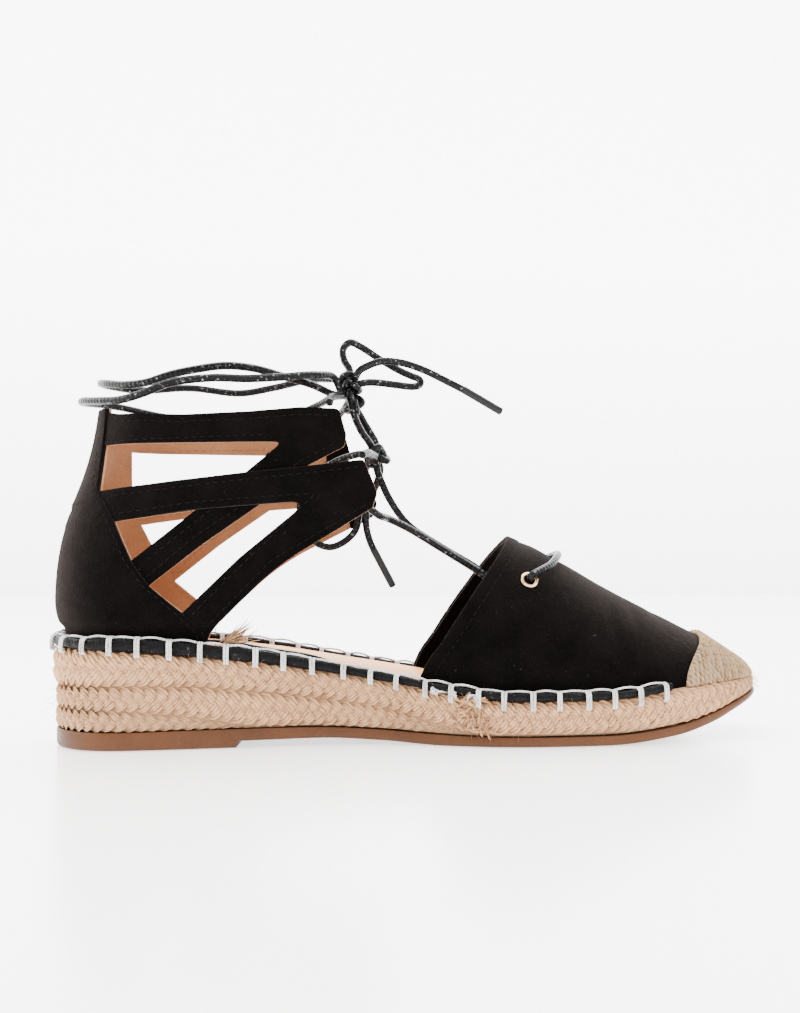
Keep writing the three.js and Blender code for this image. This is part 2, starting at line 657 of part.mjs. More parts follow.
const CORDS = {
  // first turn round the ankle, low on the inner side
  lace_turn_low: [
    [94.6, -9, 125.6], [89, -20, 124.6], [78, -26.8, 122.2], [67, -28.8, 121],
    [56, -29.6, 120.8], [43, -28.6, 119], [34, -26.4, 115.8], [26, -22.4, 114.2],
    [17, -15.5, 114.8], [10.6, -8, 115.9], [8.4, 0, 116.6], [11, 8.5, 117.6],
    [17, 16, 117.8], [28, 22, 116.2], [42, 25, 114.4], [58, 26.2, 114.2],
    [74, 25.6, 116.4], [86, 19, 120.2], [94, 7, 122.6],
  ],
  // second turn, higher
  lace_turn_high: [
    [93.6, -8, 120.4], [87, -16, 122], [78, -22, 123.4], [69, -24.8, 125.2],
    [60, -26, 125.6], [50, -25.2, 124.2], [42, -23.6, 122.6], [34, -21, 120.4],
    [26, -16.6, 120.2], [18.6, -9.6, 121.8], [14.6, -1, 123.2], [16.4, 8, 123.8],
    [24, 16, 124.2], [40, 22, 126.6], [58, 23.6, 125.4], [71, 22, 127.6],
    [84, 15.6, 129.6], [94, 5, 128.2],
  ],
  // bow loop that stands out over the instep
  lace_loop_front: [
    [99.6, -1.6, 130.2], [97.6, -0.4, 134], [97.2, 0.2, 138], [99.6, 0.6, 140.6],
    [103.4, 0.6, 139.2], [110.6, 0.2, 134.6], [118, -0.6, 130.4], [124.2, -1.4, 127.2],
    [122.4, -2.4, 124.6], [115, -2.6, 125.2], [108.6, -2.8, 125.8], [105.2, -3, 125.6],
  ],
  // bow loop that hangs inside
  lace_loop_inner: [
    [105.6, 4.2, 96.6], [103.4, 9.4, 89], [102.6, 13.4, 80], [101.4, 15.6, 74],
    [97.6, 16.6, 69.8], [92, 17, 67.4], [86.8, 17, 69], [82.6, 16.4, 75], [81, 15, 82.6],
    [84, 12.4, 90.6], [92, 9.4, 97.4], [100, 5.4, 100.4], [104, 2.8, 100.8],
  ],
  // between the two knots
  lace_tie_near: [[100, -5.4, 118.8], [101.4, -5.4, 113], [104, -4.4, 107.6], [106.6, -2.4, 104.2]],
  lace_tie_far: [[101, 1.6, 119.6], [104, 3, 113.4], [107.2, 3, 108], [108.8, 1.6, 104.8]],
  // from the tops of the upper straps to the upper knot
  lace_tab_inner: [[93.4, -25.4, 114.2], [94, -20.4, 117], [95.6, -14, 118.6], [96.8, -8.4, 120.2]],
  lace_tab_outer: [[93.4, 25.4, 114.2], [95, 19.6, 117], [97.8, 11, 119.2], [99, 3.8, 121.2]],
  // from the tops of the lower straps to the lower knot
  lace_arm_inner: [[104, -24.4, 97.2], [106, -19, 98.6], [107.6, -12, 98.8], [108.4, -5.4, 99]],
  lace_arm_outer: [[104, 24.4, 97.2], [106, 19, 98.6], [107.8, 12, 98.8], [109, 5.4, 99]],
};
const ENDS = {
  lace_end_front: [
    [102.6, -6.8, 128.4], [106, -7, 130.8], [111, -6.8, 132.6], [117.7, -6.4, 132.4],
    [125, -6, 130.4], [134.2, -6, 126.2], [141, -6, 122.9],
  ],
  lace_end_inner: [
    [110.4, 4.2, 96.2], [109.4, 8.6, 91.4], [106.4, 12.2, 84], [105.2, 13.6, 76.6],
    [106.6, 14, 69.8], [108.6, 14.2, 65.4],
  ],
};
const AGLETS = {
  lace_tip_front: { from: [141, -6, 122.9], to: [154, -6, 115.6] },
  lace_tip_inner: { from: [108.6, 14.2, 65.4], to: [115.4, 14.6, 52.4] },
};
const AGLET_DIAMETER = 2.4;

const vectors = (rows) => rows.map(([x, y, z]) => new THREE.Vector3(x, y, z));

function makeKnot({ at, size }) {
  const geometry = new THREE.IcosahedronGeometry(1, 2).scale(...size).translate(...at);
  return solid(geometry);
}

function makeAglet({ from, to }) {
  const [start, stop] = vectors([from, to]);
  const direction = stop.clone().sub(start).normalize();
  return tube([start.addScaledVector(direction, GAP), stop], AGLET_DIAMETER, 5);
}

// The fixed run: from the inner strap's lower corner, down into the throat, out through the inner
// eyelet, over the vamp in a loose bar, in through the outer eyelet and back up to the lower knot.
function makeLaceRun() {
  const [inner, outer] = [eyeletSeat(-1), eyeletSeat(1)];
  const from = (seat, distance) => seat.centre.clone().addScaledVector(seat.out, distance);
  const bar = [];
  const barSteps = 7;
  for (let k = 1; k < barSteps; k++) {
    const t = k / barSteps;
    const around = inner.around + (outer.around - inner.around) * t;
    const along = inner.along + (alongAt(EYELET.x + 13) - inner.along) * Math.sin(Math.PI * t) ** 0.7;
    const lift = 1.9 + 0.3 * Math.sin(Math.PI * t);
    bar.push(vampPoint(along, around).addScaledVector(vampNormal(along, around), lift));
  }
  const points = [
    ...vectors([[109.4, -22.6, 77.4], [113, -16.4, 76.4], [120.4, -10.6, 73.2]]),
    ...vectors([[132, -7.2, 66.4], [146.6, -6.4, 57.4], [154.6, -9.4, 51.4]]),
    from(inner, -5.5),
    from(inner, -2.2),
    from(inner, 0),
    from(inner, 1.6),
    from(inner, 3),
    ...bar,
    from(outer, 3),
    from(outer, 1.6),
    from(outer, 0),
    from(outer, -2.2),
    from(outer, -5.5),
    ...vectors([[154.6, 9.4, 51.4], [146.8, 4.4, 58.8], [132.4, 2.6, 67.4], [120.4, 1.8, 75.4]]),
    ...vectors([[114, 1, 84], [110.6, 0.4, 91.2], [109.4, 0.2, 94.4]]),
  ];
  return tube(points, LACE_DIAMETER, 5.2);
}

// ---- assembly -----------------------------------------------------------------------------
const FINISHES = {
  suede: { color: 0x1c1a1b, roughness: 0.95, metalness: 0 },
  jute: { color: 0xc8ab84, roughness: 0.9, metalness: 0 },
  rubber: { color: 0x8c5a32, roughness: 0.55, metalness: 0 },
  lining: { color: 0xd0a577, roughness: 0.6, metalness: 0 },
  binding: { color: 0x161516, roughness: 0.85, metalness: 0 },
  gold: { color: 0xd0a860, roughness: 0.25, metalness: 1 },
  cord: { color: 0x17191b, roughness: 0.4, metalness: 0 },
};

const shoe = new THREE.Group();
shoe.position.set(-LENGTH / 2, 0, 0);

function place(name, finish, manifold) {
  const mesh = new THREE.Mesh(geometryOf(manifold), new THREE.MeshStandardMaterial(FINISHES[finish]));
  mesh.name = name;
  shoe.add(mesh);
}

place("outsole", "rubber", makeOutsole());
place("midsole", "jute", makeMidsole());
place("insole", "lining", makeInsole());
place("rand", "binding", makeRand());
place("vamp", "suede", makeVamp());
place("toe_cap", "jute", makeToeCap());
place("quarter", "suede", makeQuarter());
place("eyelet_inner", "gold", makeEyelet(-1));
place("eyelet_outer", "gold", makeEyelet(1));
place("lace_run", "cord", makeLaceRun());
for (const [name, knot] of Object.entries(KNOTS)) place(name, "cord", makeKnot(knot));
for (const [name, rows] of Object.entries({ ...CORDS, ...ENDS }))
  place(name, "cord", tube(vectors(rows), LACE_DIAMETER));
for (const [name, tip] of Object.entries(AGLETS)) place(name, "cord", makeAglet(tip));

export default shoe;
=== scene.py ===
# %% [markdown]
# # A lace-up espadrille on a jute wedge
# A left shoe, size 38: a black suede-look upper cut into crossing straps, a closed vamp with two
# eyelets and one waxed lace, a woven jute toe cap, and a sole wound from three tiers of plaited
# jute over a rubber outsole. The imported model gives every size, and each piece here is a finer
# body of the same part, laid on the same sections of the last.

# %% Load the frame
import bmesh
import bpy
import math
import numpy as np
from mathutils import Matrix, Vector


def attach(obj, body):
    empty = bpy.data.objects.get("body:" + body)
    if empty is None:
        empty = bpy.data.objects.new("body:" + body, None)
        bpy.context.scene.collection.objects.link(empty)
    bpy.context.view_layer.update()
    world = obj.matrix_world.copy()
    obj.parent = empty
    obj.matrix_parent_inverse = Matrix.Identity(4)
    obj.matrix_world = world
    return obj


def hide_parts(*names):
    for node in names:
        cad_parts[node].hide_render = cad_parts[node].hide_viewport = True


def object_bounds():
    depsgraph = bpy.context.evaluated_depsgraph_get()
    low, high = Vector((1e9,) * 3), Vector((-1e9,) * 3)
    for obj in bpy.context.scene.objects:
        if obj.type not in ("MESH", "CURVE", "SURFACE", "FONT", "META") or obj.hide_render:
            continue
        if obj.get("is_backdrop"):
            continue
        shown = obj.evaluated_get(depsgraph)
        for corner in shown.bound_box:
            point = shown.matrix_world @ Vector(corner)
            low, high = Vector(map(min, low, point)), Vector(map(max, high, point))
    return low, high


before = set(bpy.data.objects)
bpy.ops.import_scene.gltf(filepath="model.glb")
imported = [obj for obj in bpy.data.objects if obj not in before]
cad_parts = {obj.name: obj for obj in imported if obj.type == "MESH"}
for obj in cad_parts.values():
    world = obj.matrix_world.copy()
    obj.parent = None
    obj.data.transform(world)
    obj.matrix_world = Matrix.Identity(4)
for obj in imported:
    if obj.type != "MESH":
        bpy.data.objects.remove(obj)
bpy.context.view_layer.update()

# %% [markdown]
# ## The sections of the last
# A shoemaker's last is known by a few measures at each station along the foot. They are kept as
# short tables, in metres, with x measured from the back of the heel. One function reads a
# smooth value between two rows and never swings past them, so few rows are enough.

# %% Tables of the sole and the upper
LENGTH = 0.25
HEEL_ROUND = 0.027
BALL_X = 0.165
HEEL_BREAST_X = 0.062
UPPER_INSET = 0.0042
WALL = 0.0018
GAP = 0.0003


def table(names, rows):
    return dict(zip(names.split(), np.array(rows, float).T))


OUTLINE = table("x centre half", [
    (0, 0, .0286), (.03, 0, .029), (.06, .0005, .028), (.092, .0015, .0266), (.11, .0014, .0284),
    (.126, .0012, .0324), (.14, .0008, .0368), (.152, .0004, .0396), (.165, 0, .0406),
    (.195, -.0012, .0406), (.225, -.003, .0406), (.25, -.004, .0406),
])
SOLE = table("x under rubber seam_low seam_high jute", [
    (0, .0022, .0062, .0137, .0206, .0334), (.027, .0022, .0059, .0127, .0208, .032),
    (.047, .0022, .0061, .0109, .0204, .0302), (.068, .0022, .0062, .0072, .0184, .028),
    (.089, .0023, .006, .005, .0159, .0248), (.11, .0014, .005, .003, .0126, .0213),
    (.132, 0, .0036, .001, .0068, .0174), (.155, 0, .0032, 0, .002, .0149),
    (.187, 0, .0033, 0, 0, .0152), (.211, .0022, .0055, 0, 0, .0178),
    (.225, .0056, .0087, 0, 0, .0192), (.237, .0098, .0124, 0, 0, .0198),
    (.25, .0138, .0156, 0, 0, .02),
])
COUNTER = table("z back narrowing side_inset", [
    (.028, .0044, 0, .0042), (.035, .0043, 0, .0042), (.0385, .0041, 0, .0039),
    (.042, .0018, 0.01, .002), (.048, .0009, 0.04, .0012), (.056, .0012, 0.11, .0011),
    (.064, .0021, 0.2, .0011), (.072, .0037, 0.3, .0011), (.081, .0064, 0.43, .0011),
    (.09, .0096, 0.58, .0011), (.099, .0121, 0.75, .0011), (.107, .0136, 0.9, .0011),
    (.116, .0148, 1.06, .0011),
])
COLLAR = table("x half", [
    (0, .0155), (.02, .017), (.032, .0195), (.05, .023), (.075, .026), (.1, .027), (.12, .027),
])
RIDGE = [
    (.116, .084), (.136, .079), (.156, .0712), (.167, .0662), (.178, .0606), (.19, .0536),
    (.201, .0478), (.213, .0418), (.225, .0356), (.236, .0286), (.243, .0239), (.2458, .0203),
]
THROAT = [
    (.1225, .012), (.124, .024), (.131, .035), (.1395, .048), (.1494, .062), (.155, .0695),
    (.1584, .074),
]


def column(rows, name, at):
    """Smooth value of a named column; the first column is the one looked up."""
    keys, values = next(iter(rows.values())), rows[name]
    secant = np.diff(values) / np.diff(keys)
    before, after = secant[:-1], secant[1:]
    turning = before * after <= 0
    middle = np.where(turning, 0, 2 * before * after / np.where(turning, 1, before + after))
    slope = np.concatenate([secant[:1], middle, secant[-1:]])
    at = np.clip(at, keys[0], keys[-1])
    i = np.clip(np.searchsorted(keys, at, side="right") - 1, 0, len(keys) - 2)
    span = keys[i + 1] - keys[i]
    t = (at - keys[i]) / span
    rise = t * t * (3 - 2 * t)
    lead = t * (1 - t) ** 2 * slope[i] * span
    tail = t * t * (t - 1) * slope[i + 1] * span
    return values[i] * (1 - rise) + values[i + 1] * rise + lead + tail


def end_rounding(x):
    heel = np.clip(1 - x / HEEL_ROUND, 0, 1)
    toe = np.clip((x - BALL_X) / (LENGTH - BALL_X), 0, 1)
    return (1 - heel**2.3) ** (1 / 2.1) * (1 - toe**2.3) ** 0.56


def half_width(x, inset=0.0):
    along = np.clip((x - inset) * LENGTH / (LENGTH - 2 * inset), 0, LENGTH)
    return (column(OUTLINE, "half", along) - inset) * end_rounding(along)


def centre_y(x):
    return column(OUTLINE, "centre", x)


def jute_top(x):
    return column(SOLE, "jute", x)


def unit(vectors):
    return vectors / np.maximum(np.linalg.norm(vectors, axis=-1, keepdims=True), 1e-12)


def place(x, y, z):
    """Points in the frame, from x measured from the heel."""
    x, y, z = np.broadcast_arrays(x, y, z)
    return np.stack([x - LENGTH / 2, y, z], axis=-1)


print("ball width", round(float(2 * half_width(BALL_X)), 4))

# %% [markdown]
# ## Curves through given points
# Laces, ridge and throat are given by a handful of points. A centripetal Catmull-Rom curve runs
# through every point without loops or overshoot, which a plain Bezier would need handles for.

# %% A smooth line through points
def smooth_line(points, per_span=24):
    p = np.array(points, float)
    p = np.vstack([2 * p[0] - p[1], p, 2 * p[-1] - p[-2]])
    knots = np.sqrt(np.linalg.norm(np.diff(p, axis=0), axis=1))[:, None]
    t = np.linspace(0, 1, per_span, endpoint=False)[:, None]
    line = []
    for i in range(1, len(p) - 2):
        d0, d1, d2 = knots[i - 1], knots[i], knots[i + 1]
        a = d1 * ((p[i] - p[i - 1]) / d0 - (p[i + 1] - p[i - 1]) / (d0 + d1)) + p[i + 1] - p[i]
        b = d1 * ((p[i + 2] - p[i + 1]) / d2 - (p[i + 2] - p[i]) / (d1 + d2)) + p[i + 1] - p[i]
        step = p[i + 1] - p[i]
        line.append(p[i] + t * a + t**2 * (3 * step - 2 * a - b) + t**3 * (a + b - 2 * step))
    return np.vstack([*line, p[-2:-1]])


def lengths(line):
    return np.concatenate([[0], np.cumsum(np.linalg.norm(np.diff(line, axis=0), axis=1))])


def evenly(line, step):
    """The same line with points an even step apart."""
    at = lengths(line)
    wanted = np.linspace(0, at[-1], max(3, math.ceil(at[-1] / step) + 1))
    return np.stack([np.interp(wanted, at, line[:, k]) for k in range(line.shape[1])], axis=1)


# %% [markdown]
# ## The camera
# The shoe is seen from its inner side, from just above the wedge, with the toe to the right and
# turned a little away. The camera is set before anything else is made, because laces may lie
# only where it sees them or where a neat coil would hide.

# %% Camera
scene = bpy.context.scene
camera_data = bpy.data.cameras.new("camera")
camera = bpy.data.objects.new("camera", camera_data)
scene.collection.objects.link(camera)
camera.location = (-0.0166, -0.3626, 0.0568)
camera.rotation_euler = (math.radians(90), 0, -math.atan2(0.138, 0.990))
camera_data.lens = 35.4
camera_data.shift_x = -0.112
camera_data.shift_y = 0.068
camera_data.clip_start = 0.01
scene.camera = camera

# %% [markdown]
# ## Floor and light
# A pale glossy floor runs into a white room, with one large soft light overhead and smaller ones
# in front and on each side, as in any plain studio. None of it belongs to the shoe.

# %% Materials are written as expressions
class Link:
    """A node's output. Arithmetic on it adds the Math nodes that work it out."""

    def __init__(self, finish, socket):
        self.finish, self.socket = finish, socket

    def maths(self, operation, *values):
        inputs = dict(enumerate(values))
        return self.finish.node("ShaderNodeMath", {"operation": operation}, inputs)

    def __add__(self, other):
        return self.maths("ADD", self, other)

    def __sub__(self, other):
        return self.maths("SUBTRACT", self, other)

    def __rsub__(self, other):
        return self.maths("SUBTRACT", other, self)

    def __mul__(self, other):
        return self.maths("MULTIPLY", self, other)

    def __pow__(self, other):
        return self.maths("POWER", self, other)

    def sine(self):
        return self.maths("SINE", self)

    def clamped(self):
        return self.maths("MINIMUM", self.maths("MAXIMUM", self, 0.0), 1.0)

    __radd__ = __add__
    __rmul__ = __mul__


class Finish:
    """One material. Fixed numbers are set on the shader's sockets; links are joined to them."""

    def __init__(self, name, **fixed):
        self.material = bpy.data.materials.new(name)
        self.material.use_nodes = True
        self.tree = self.material.node_tree
        self.shader = self.tree.nodes["Principled BSDF"]
        self.set(**fixed)

    def set(self, **values):
        for name, value in values.items():
            self.feed(self.shader.inputs[name.replace("_", " ")], value)
        return self

    def feed(self, socket, value):
        if isinstance(value, Link):
            self.tree.links.new(value.socket, socket)
        elif socket.type == "RGBA" and len(value) == 3:
            socket.default_value = (*value, 1)
        else:
            socket.default_value = value

    def node(self, kind, settings=None, inputs=None, output=0):
        made = self.tree.nodes.new(kind)
        for name, value in (settings or {}).items():
            if name == "stops":
                ramp = made.color_ramp.elements
                for at, colour in value[2:]:
                    ramp.new(at)
                for stop, (at, colour) in zip(ramp, value):
                    stop.position = at
                    stop.color = (*colour, 1)
            else:
                setattr(made, name, value)
        for name, value in (inputs or {}).items():
            self.feed(made.inputs[name], value)
        return Link(self, made.outputs[output])

    def place(self):
        return self.node("ShaderNodeTexCoord", output="Object")

    def value(self, name):
        """A number kept on the mesh, such as the distance along a yarn."""
        return self.node("ShaderNodeAttribute", {"attribute_name": name}, output="Fac")

    def across(self):
        """How far round a tube, 0 to 1."""
        return self.node("ShaderNodeSeparateXYZ", inputs={0: self.node("ShaderNodeUVMap")})

    def vector(self, x, y, z):
        return self.node("ShaderNodeCombineXYZ", inputs={0: x, 1: y, 2: z})

    def noise(self, scale, detail=2, vector=None, roughness=0.5):
        inputs = {
            "Vector": vector or self.place(),
            "Scale": scale,
            "Detail": detail,
            "Roughness": roughness,
        }
        return self.node("ShaderNodeTexNoise", inputs=inputs)

    def ramp(self, fac, *stops):
        stops = sorted(stops, key=lambda stop: stop[0])
        return self.node("ShaderNodeValToRGB", {"stops": stops}, {0: fac})

    def blend(self, fac, a, b):
        return self.node("ShaderNodeMix", {"data_type": "RGBA"}, {0: fac, 6: a, 7: b}, output=2)

    def bump(self, height, distance):
        inputs = {"Strength": 1.0, "Distance": distance, "Height": height}
        return self.node("ShaderNodeBump", inputs=inputs)


# %% Floor and lights
floor_finish = Finish("floor", Base_Color=(0.93, 0.92, 0.93), Roughness=0.22)
grey = floor_finish.ramp(floor_finish.noise(3), (0.3, (0.9, 0.9, 0.9)), (0.7, (0.95, 0.95, 0.95)))
floor_finish.set(Base_Color=grey, Emission_Color=(1, 1, 1), Emission_Strength=1.5)

bm = bmesh.new()
bmesh.ops.create_grid(bm, x_segments=4, y_segments=4, size=5)
for vertex in bm.verts:
    vertex.co.z = -0.0002
mesh = bpy.data.meshes.new("floor")
bm.to_mesh(mesh)
bm.free()
mesh.shade_smooth()
mesh.materials.append(floor_finish.material)
floor = bpy.data.objects.new("floor", mesh)
scene.collection.objects.link(floor)
floor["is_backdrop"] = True

wall_finish = Finish("wall", Base_Color=(0.9, 0.9, 0.9), Roughness=0.9)
height = wall_finish.node("ShaderNodeSeparateXYZ", {}, {0: wall_finish.place()}, output=2)
glow = wall_finish.ramp(height * 0.5, (0.0, (0.52, 0.52, 0.52)), (0.5, (1, 1, 1)))
wall_finish.set(Emission_Color=glow, Emission_Strength=7.0)
bm = bmesh.new()
bmesh.ops.create_grid(bm, x_segments=1, y_segments=1, size=5)
for vertex in bm.verts:
    vertex.co = (vertex.co.x, 2.6, vertex.co.y + 4.9)
mesh = bpy.data.meshes.new("wall")
bm.to_mesh(mesh)
bm.free()
mesh.materials.append(wall_finish.material)
wall = bpy.data.objects.new("wall", mesh)
scene.collection.objects.link(wall)
wall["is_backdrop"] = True

LIGHTS = {  # place, size, power, colour
    "overhead": ((-0.05, 0.1, 0.9), 1.0, 15, (1, 0.99, 0.97)),
    "left": ((-1.0, -0.1, 0.55), 0.7, 15, (1, 0.97, 0.92)),
    "front": ((0.1, -1.2, 0.6), 0.9, 6, (1, 0.98, 0.98)),
    "right": ((0.85, -0.55, 0.6), 0.7, 11, (1, 0.98, 0.95)),
}
for name, (where, size, power, colour) in LIGHTS.items():
    data = bpy.data.lights.new(name, "AREA")
    data.shape = "DISK"
    data.size = size
    data.energy = power
    data.color = colour
    light = bpy.data.objects.new(name, data)
    light.location = where
    towards_shoe = Vector((0, 0, 0.05)) - Vector(where)
    light.rotation_euler = towards_shoe.to_track_quat("-Z", "Y").to_euler()
    scene.collection.objects.link(light)

world = bpy.data.worlds.new("room")
world.use_nodes = True
world.node_tree.nodes["Background"].inputs["Color"].default_value = (1, 1, 1, 1)
world.node_tree.nodes["Background"].inputs["Strength"].default_value = 0.95
scene.world = world
print(len(LIGHTS), "lights")

# %% [markdown]
# ## Skins
# Nearly every piece of this shoe is a grid of quads that follows two measures: along and across
# a panel, or along and round a yarn, a thread or a lace. A grid operator makes the quads, and
# the last's own functions say where its corners go. The seam of a tube is welded and its ends
# are filled, so each one is a closed body.

# %% Grids, tubes and finished pieces
def layers(bm):
    """The UV map and the two numbers that the materials read."""
    uv = bm.loops.layers.uv.get("UVMap") or bm.loops.layers.uv.new("UVMap")
    along = bm.verts.layers.float.get("along") or bm.verts.layers.float.new("along")
    tone = bm.verts.layers.float.get("tone") or bm.verts.layers.float.new("tone")
    return uv, along, tone


def skin(bm, points, along=None, tone=0.0, closed=False):
    """A grid laid on points[row][column]; the last column lies on the first and is welded."""
    layer = layers(bm)
    rows, columns = points.shape[:2]
    made = bmesh.ops.create_grid(
        bm, x_segments=columns - 1, y_segments=rows - 1, size=0.5, calc_uvs=True
    )
    verts = made["verts"]
    distance = lengths(points[:, 0]) if along is None else along
    tones = np.repeat(np.broadcast_to(tone, rows), columns).tolist()
    far = np.repeat(distance, columns).tolist()
    for vertex, point, d, t in zip(verts, points.reshape(-1, 3).tolist(), far, tones):
        vertex.co = point
        vertex[layer[1]] = d
        vertex[layer[2]] = t
    seam = verts[::columns] + verts[columns - 1 :: columns]
    ends = verts[:columns] + verts[-columns:]
    weld = set(seam + ends) if closed else set(seam)
    bmesh.ops.remove_doubles(bm, verts=list(weld), dist=1e-7)
    if not closed:
        left = [v for v in ends if v.is_valid]
        rims = list({e for v in left for e in v.link_edges if e.is_boundary})
        bmesh.ops.holes_fill(bm, edges=rims, sides=0)


def tube(bm, line, radius, sides=8, tone=0.0, flat=1.0, up=None, taper=0.0):
    """A round or flattened tube along a line; taper rounds its ends off over that length."""
    ahead = unit(np.gradient(line, axis=0))
    if up is None:
        side = np.cross(ahead[0], [0.3, 0.5, 0.8])
        sideways = []
        for direction in ahead:
            side = side - direction * (side @ direction)
            side = side / np.linalg.norm(side)
            sideways.append(side)
        sideways = np.array(sideways)
    else:
        sideways = unit(np.cross(up, ahead))
    raised = np.cross(ahead, sideways)
    turn = np.linspace(0, 2 * math.pi, sides + 1)
    turn[-1] = 0
    at = lengths(line)
    scale = np.full(len(line), radius)
    if taper:
        near_end = np.minimum(at, at[-1] - at) / taper
        scale = radius * np.sqrt(np.clip(1 - (1 - np.clip(near_end, 0, 1)) ** 2, 0.04, 1))
    ring = (
        sideways[:, None] * np.cos(turn)[None, :, None]
        + raised[:, None] * np.sin(turn)[None, :, None] * flat
    )
    skin(bm, line[:, None] + ring * scale[:, None, None], along=at, tone=tone)


def piece(bm, name, finish, replaces=(), sharp=50):
    """Turns a bmesh into a named piece of the shoe."""
    bmesh.ops.recalc_face_normals(bm, faces=bm.faces)
    mesh = bpy.data.meshes.new(name)
    bm.to_mesh(mesh)
    bm.free()
    mesh.shade_smooth()
    mesh.set_sharp_from_angle(angle=math.radians(sharp))
    mesh.materials.append(finish.material)
    made = bpy.data.objects.new(name, mesh)
    scene.collection.objects.link(made)
    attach(made, "root")
    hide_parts(*replaces)
    mesh.calc_loop_triangles()
    print(f"{name}: {len(mesh.loop_triangles)} triangles")
    return made

# %% [markdown]
# ## The waxed lace
# The lace is a round cord, 2.6 mm thick, braided from waxed cotton. Its sheen comes in sparks
# from the crowns of the braid. Pale flecks are painted into its colour, partly where the wax
# has cracked and partly as painted glints, stronger on the crowns. The braid is two sets of
# slanting ridges that cross, so it is a product of two sines in the bump.

# %% Lace finish
LACE = 0.0026
STRAND_TURNS = 2 * math.pi * 4
BRAID_LENGTH = 0.0034

waxed = Finish("waxed_lace", Roughness=0.4, Specular_IOR_Level=0.12)
along = waxed.value("along") * (STRAND_TURNS / 4 / BRAID_LENGTH)
round_it = waxed.across() * STRAND_TURNS
braid = (along + round_it).sine() * (along - round_it).sine()
cracks = waxed.noise(900, 3)
# Pale flecks: partly cracked wax, partly painted glints, made stronger on the crowns of the braid.
wax_fleck_and_glint = ((cracks - 0.6) * 7).clamped() * (braid * 0.5 + 0.5)
waxed.set(
    Base_Color=waxed.blend(wax_fleck_and_glint, (0.0014, 0.0016, 0.002), (0.34, 0.34, 0.36)),
    Roughness=0.2 + cracks * 0.2,
    Normal=waxed.bump(braid + waxed.noise(2500) * 0.6, 0.00009),
)

# %% Lace routes, in metres, x from the heel
ROUTES = {
    "turn_low": [
        (.0946, -.009, .1256), (.089, -.02, .1246), (.078, -.0268, .1222), (.067, -.0288, .121),
        (.056, -.0296, .1208), (.043, -.0286, .119), (.034, -.0264, .1158), (.026, -.0224, .1142),
        (.017, -.0155, .1148), (.0106, -.008, .1159), (.0084, 0, .1166), (.011, .0085, .1176),
        (.017, .016, .1178), (.028, .022, .1162), (.042, .025, .1144), (.058, .0262, .1142),
        (.074, .0256, .1164), (.086, .019, .1202), (.094, .007, .1226),
    ],
    "turn_high": [
        (.0936, -.008, .1204), (.087, -.016, .122), (.078, -.022, .1234), (.069, -.0248, .1252),
        (.06, -.026, .1256), (.05, -.0252, .1242), (.042, -.0236, .1226), (.034, -.021, .1204),
        (.026, -.0166, .1202), (.0186, -.0096, .1218), (.0146, -.001, .1232), (.0164, .008, .1238),
        (.024, .016, .1242), (.04, .022, .1266), (.058, .0236, .1254), (.071, .022, .1276),
        (.084, .0156, .1296), (.094, .005, .1282),
    ],
    "loop_front": [
        (.0996, -.0016, .1302), (.0976, -.0004, .134), (.0972, .0002, .138), (.0996, .0006, .1406),
        (.1034, .0006, .1392), (.1106, .0002, .1346), (.1178, -.0006, .1305),
        (.1222, -.001, .1286), (.1243, -.0014, .1277), (.1249, -.0018, .1264),
        (.124, -.0022, .1252), (.1218, -.0025, .1247), (.1155, -.0027, .1252),
        (.1086, -.0028, .1258), (.1052, -.003, .1256),
    ],
    "loop_inner": [
        (.1056, .0042, .0966), (.1034, .0094, .089), (.1026, .0134, .08), (.1014, .0156, .074),
        (.0976, .0166, .0698), (.092, .017, .0674), (.0868, .017, .069), (.0826, .0164, .075),
        (.081, .015, .0826), (.084, .0124, .0906), (.092, .0094, .0974), (.1, .0054, .1004),
        (.104, .0028, .1008),
    ],
    "tie_near": [
        (.1, -.0054, .1188), (.1014, -.0054, .113), (.104, -.0044, .1076), (.1066, -.0024, .1042),
    ],
    "tie_far": [
        (.101, .0016, .1196), (.104, .003, .1134), (.1072, .003, .108), (.1088, .0016, .1048),
    ],
    "tab_inner": [
        (.0934, -.0254, .1142), (.094, -.0204, .117), (.0956, -.014, .1186),
        (.0968, -.0084, .1202),
    ],
    "tab_outer": [
        (.0934, .0254, .1142), (.095, .0196, .117), (.0978, .011, .1192), (.099, .0038, .1212),
    ],
    "arm_inner": [
        (.104, -.0244, .0972), (.106, -.019, .0986), (.1076, -.012, .0988), (.1084, -.0054, .099),
    ],
    "arm_outer": [
        (.104, .0244, .0972), (.106, .019, .0986), (.1078, .012, .0988), (.109, .0054, .099),
    ],
    "end_front": [
        (.1026, -.0068, .1284), (.106, -.007, .1308), (.111, -.0068, .1326),
        (.1177, -.0064, .1324), (.125, -.006, .1304), (.1342, -.006, .1262), (.141, -.006, .1229),
    ],
    "end_inner": [
        (.1104, .0042, .0962), (.1094, .0086, .0914), (.1064, .0122, .084), (.1052, .0136, .0766),
        (.1066, .014, .0698), (.1086, .0142, .0654),
    ],
}
KNOT_UPPER = (0.0995, -0.003, 0.1245)
KNOT_HITCH = (0.1012, -0.0028, 0.1172)
KNOT_LOWER = (0.109, 0, 0.0997)


# %% [markdown]
# The two knots are what holds the bow, so each is a real tight turn of the same lace: a trefoil,
# which is the closed form of an overhand knot, drawn up until its turns touch. Every other
# stretch is free cord: it leaves a strap or a knot, and runs through a knot into the next.

# %% Knots
def trefoil(centre, size, tilt):
    t = np.linspace(0, 2 * math.pi, 73)
    shape = [np.sin(t) + 2 * np.sin(2 * t), np.cos(t) - 2 * np.cos(2 * t), -1.3 * np.sin(3 * t)]
    line = np.stack(shape, axis=1) * size / 3
    turned = line @ np.array(Matrix.Rotation(tilt, 3, "X") @ Matrix.Rotation(tilt / 2, 3, "Z"))
    return turned + place(*centre)


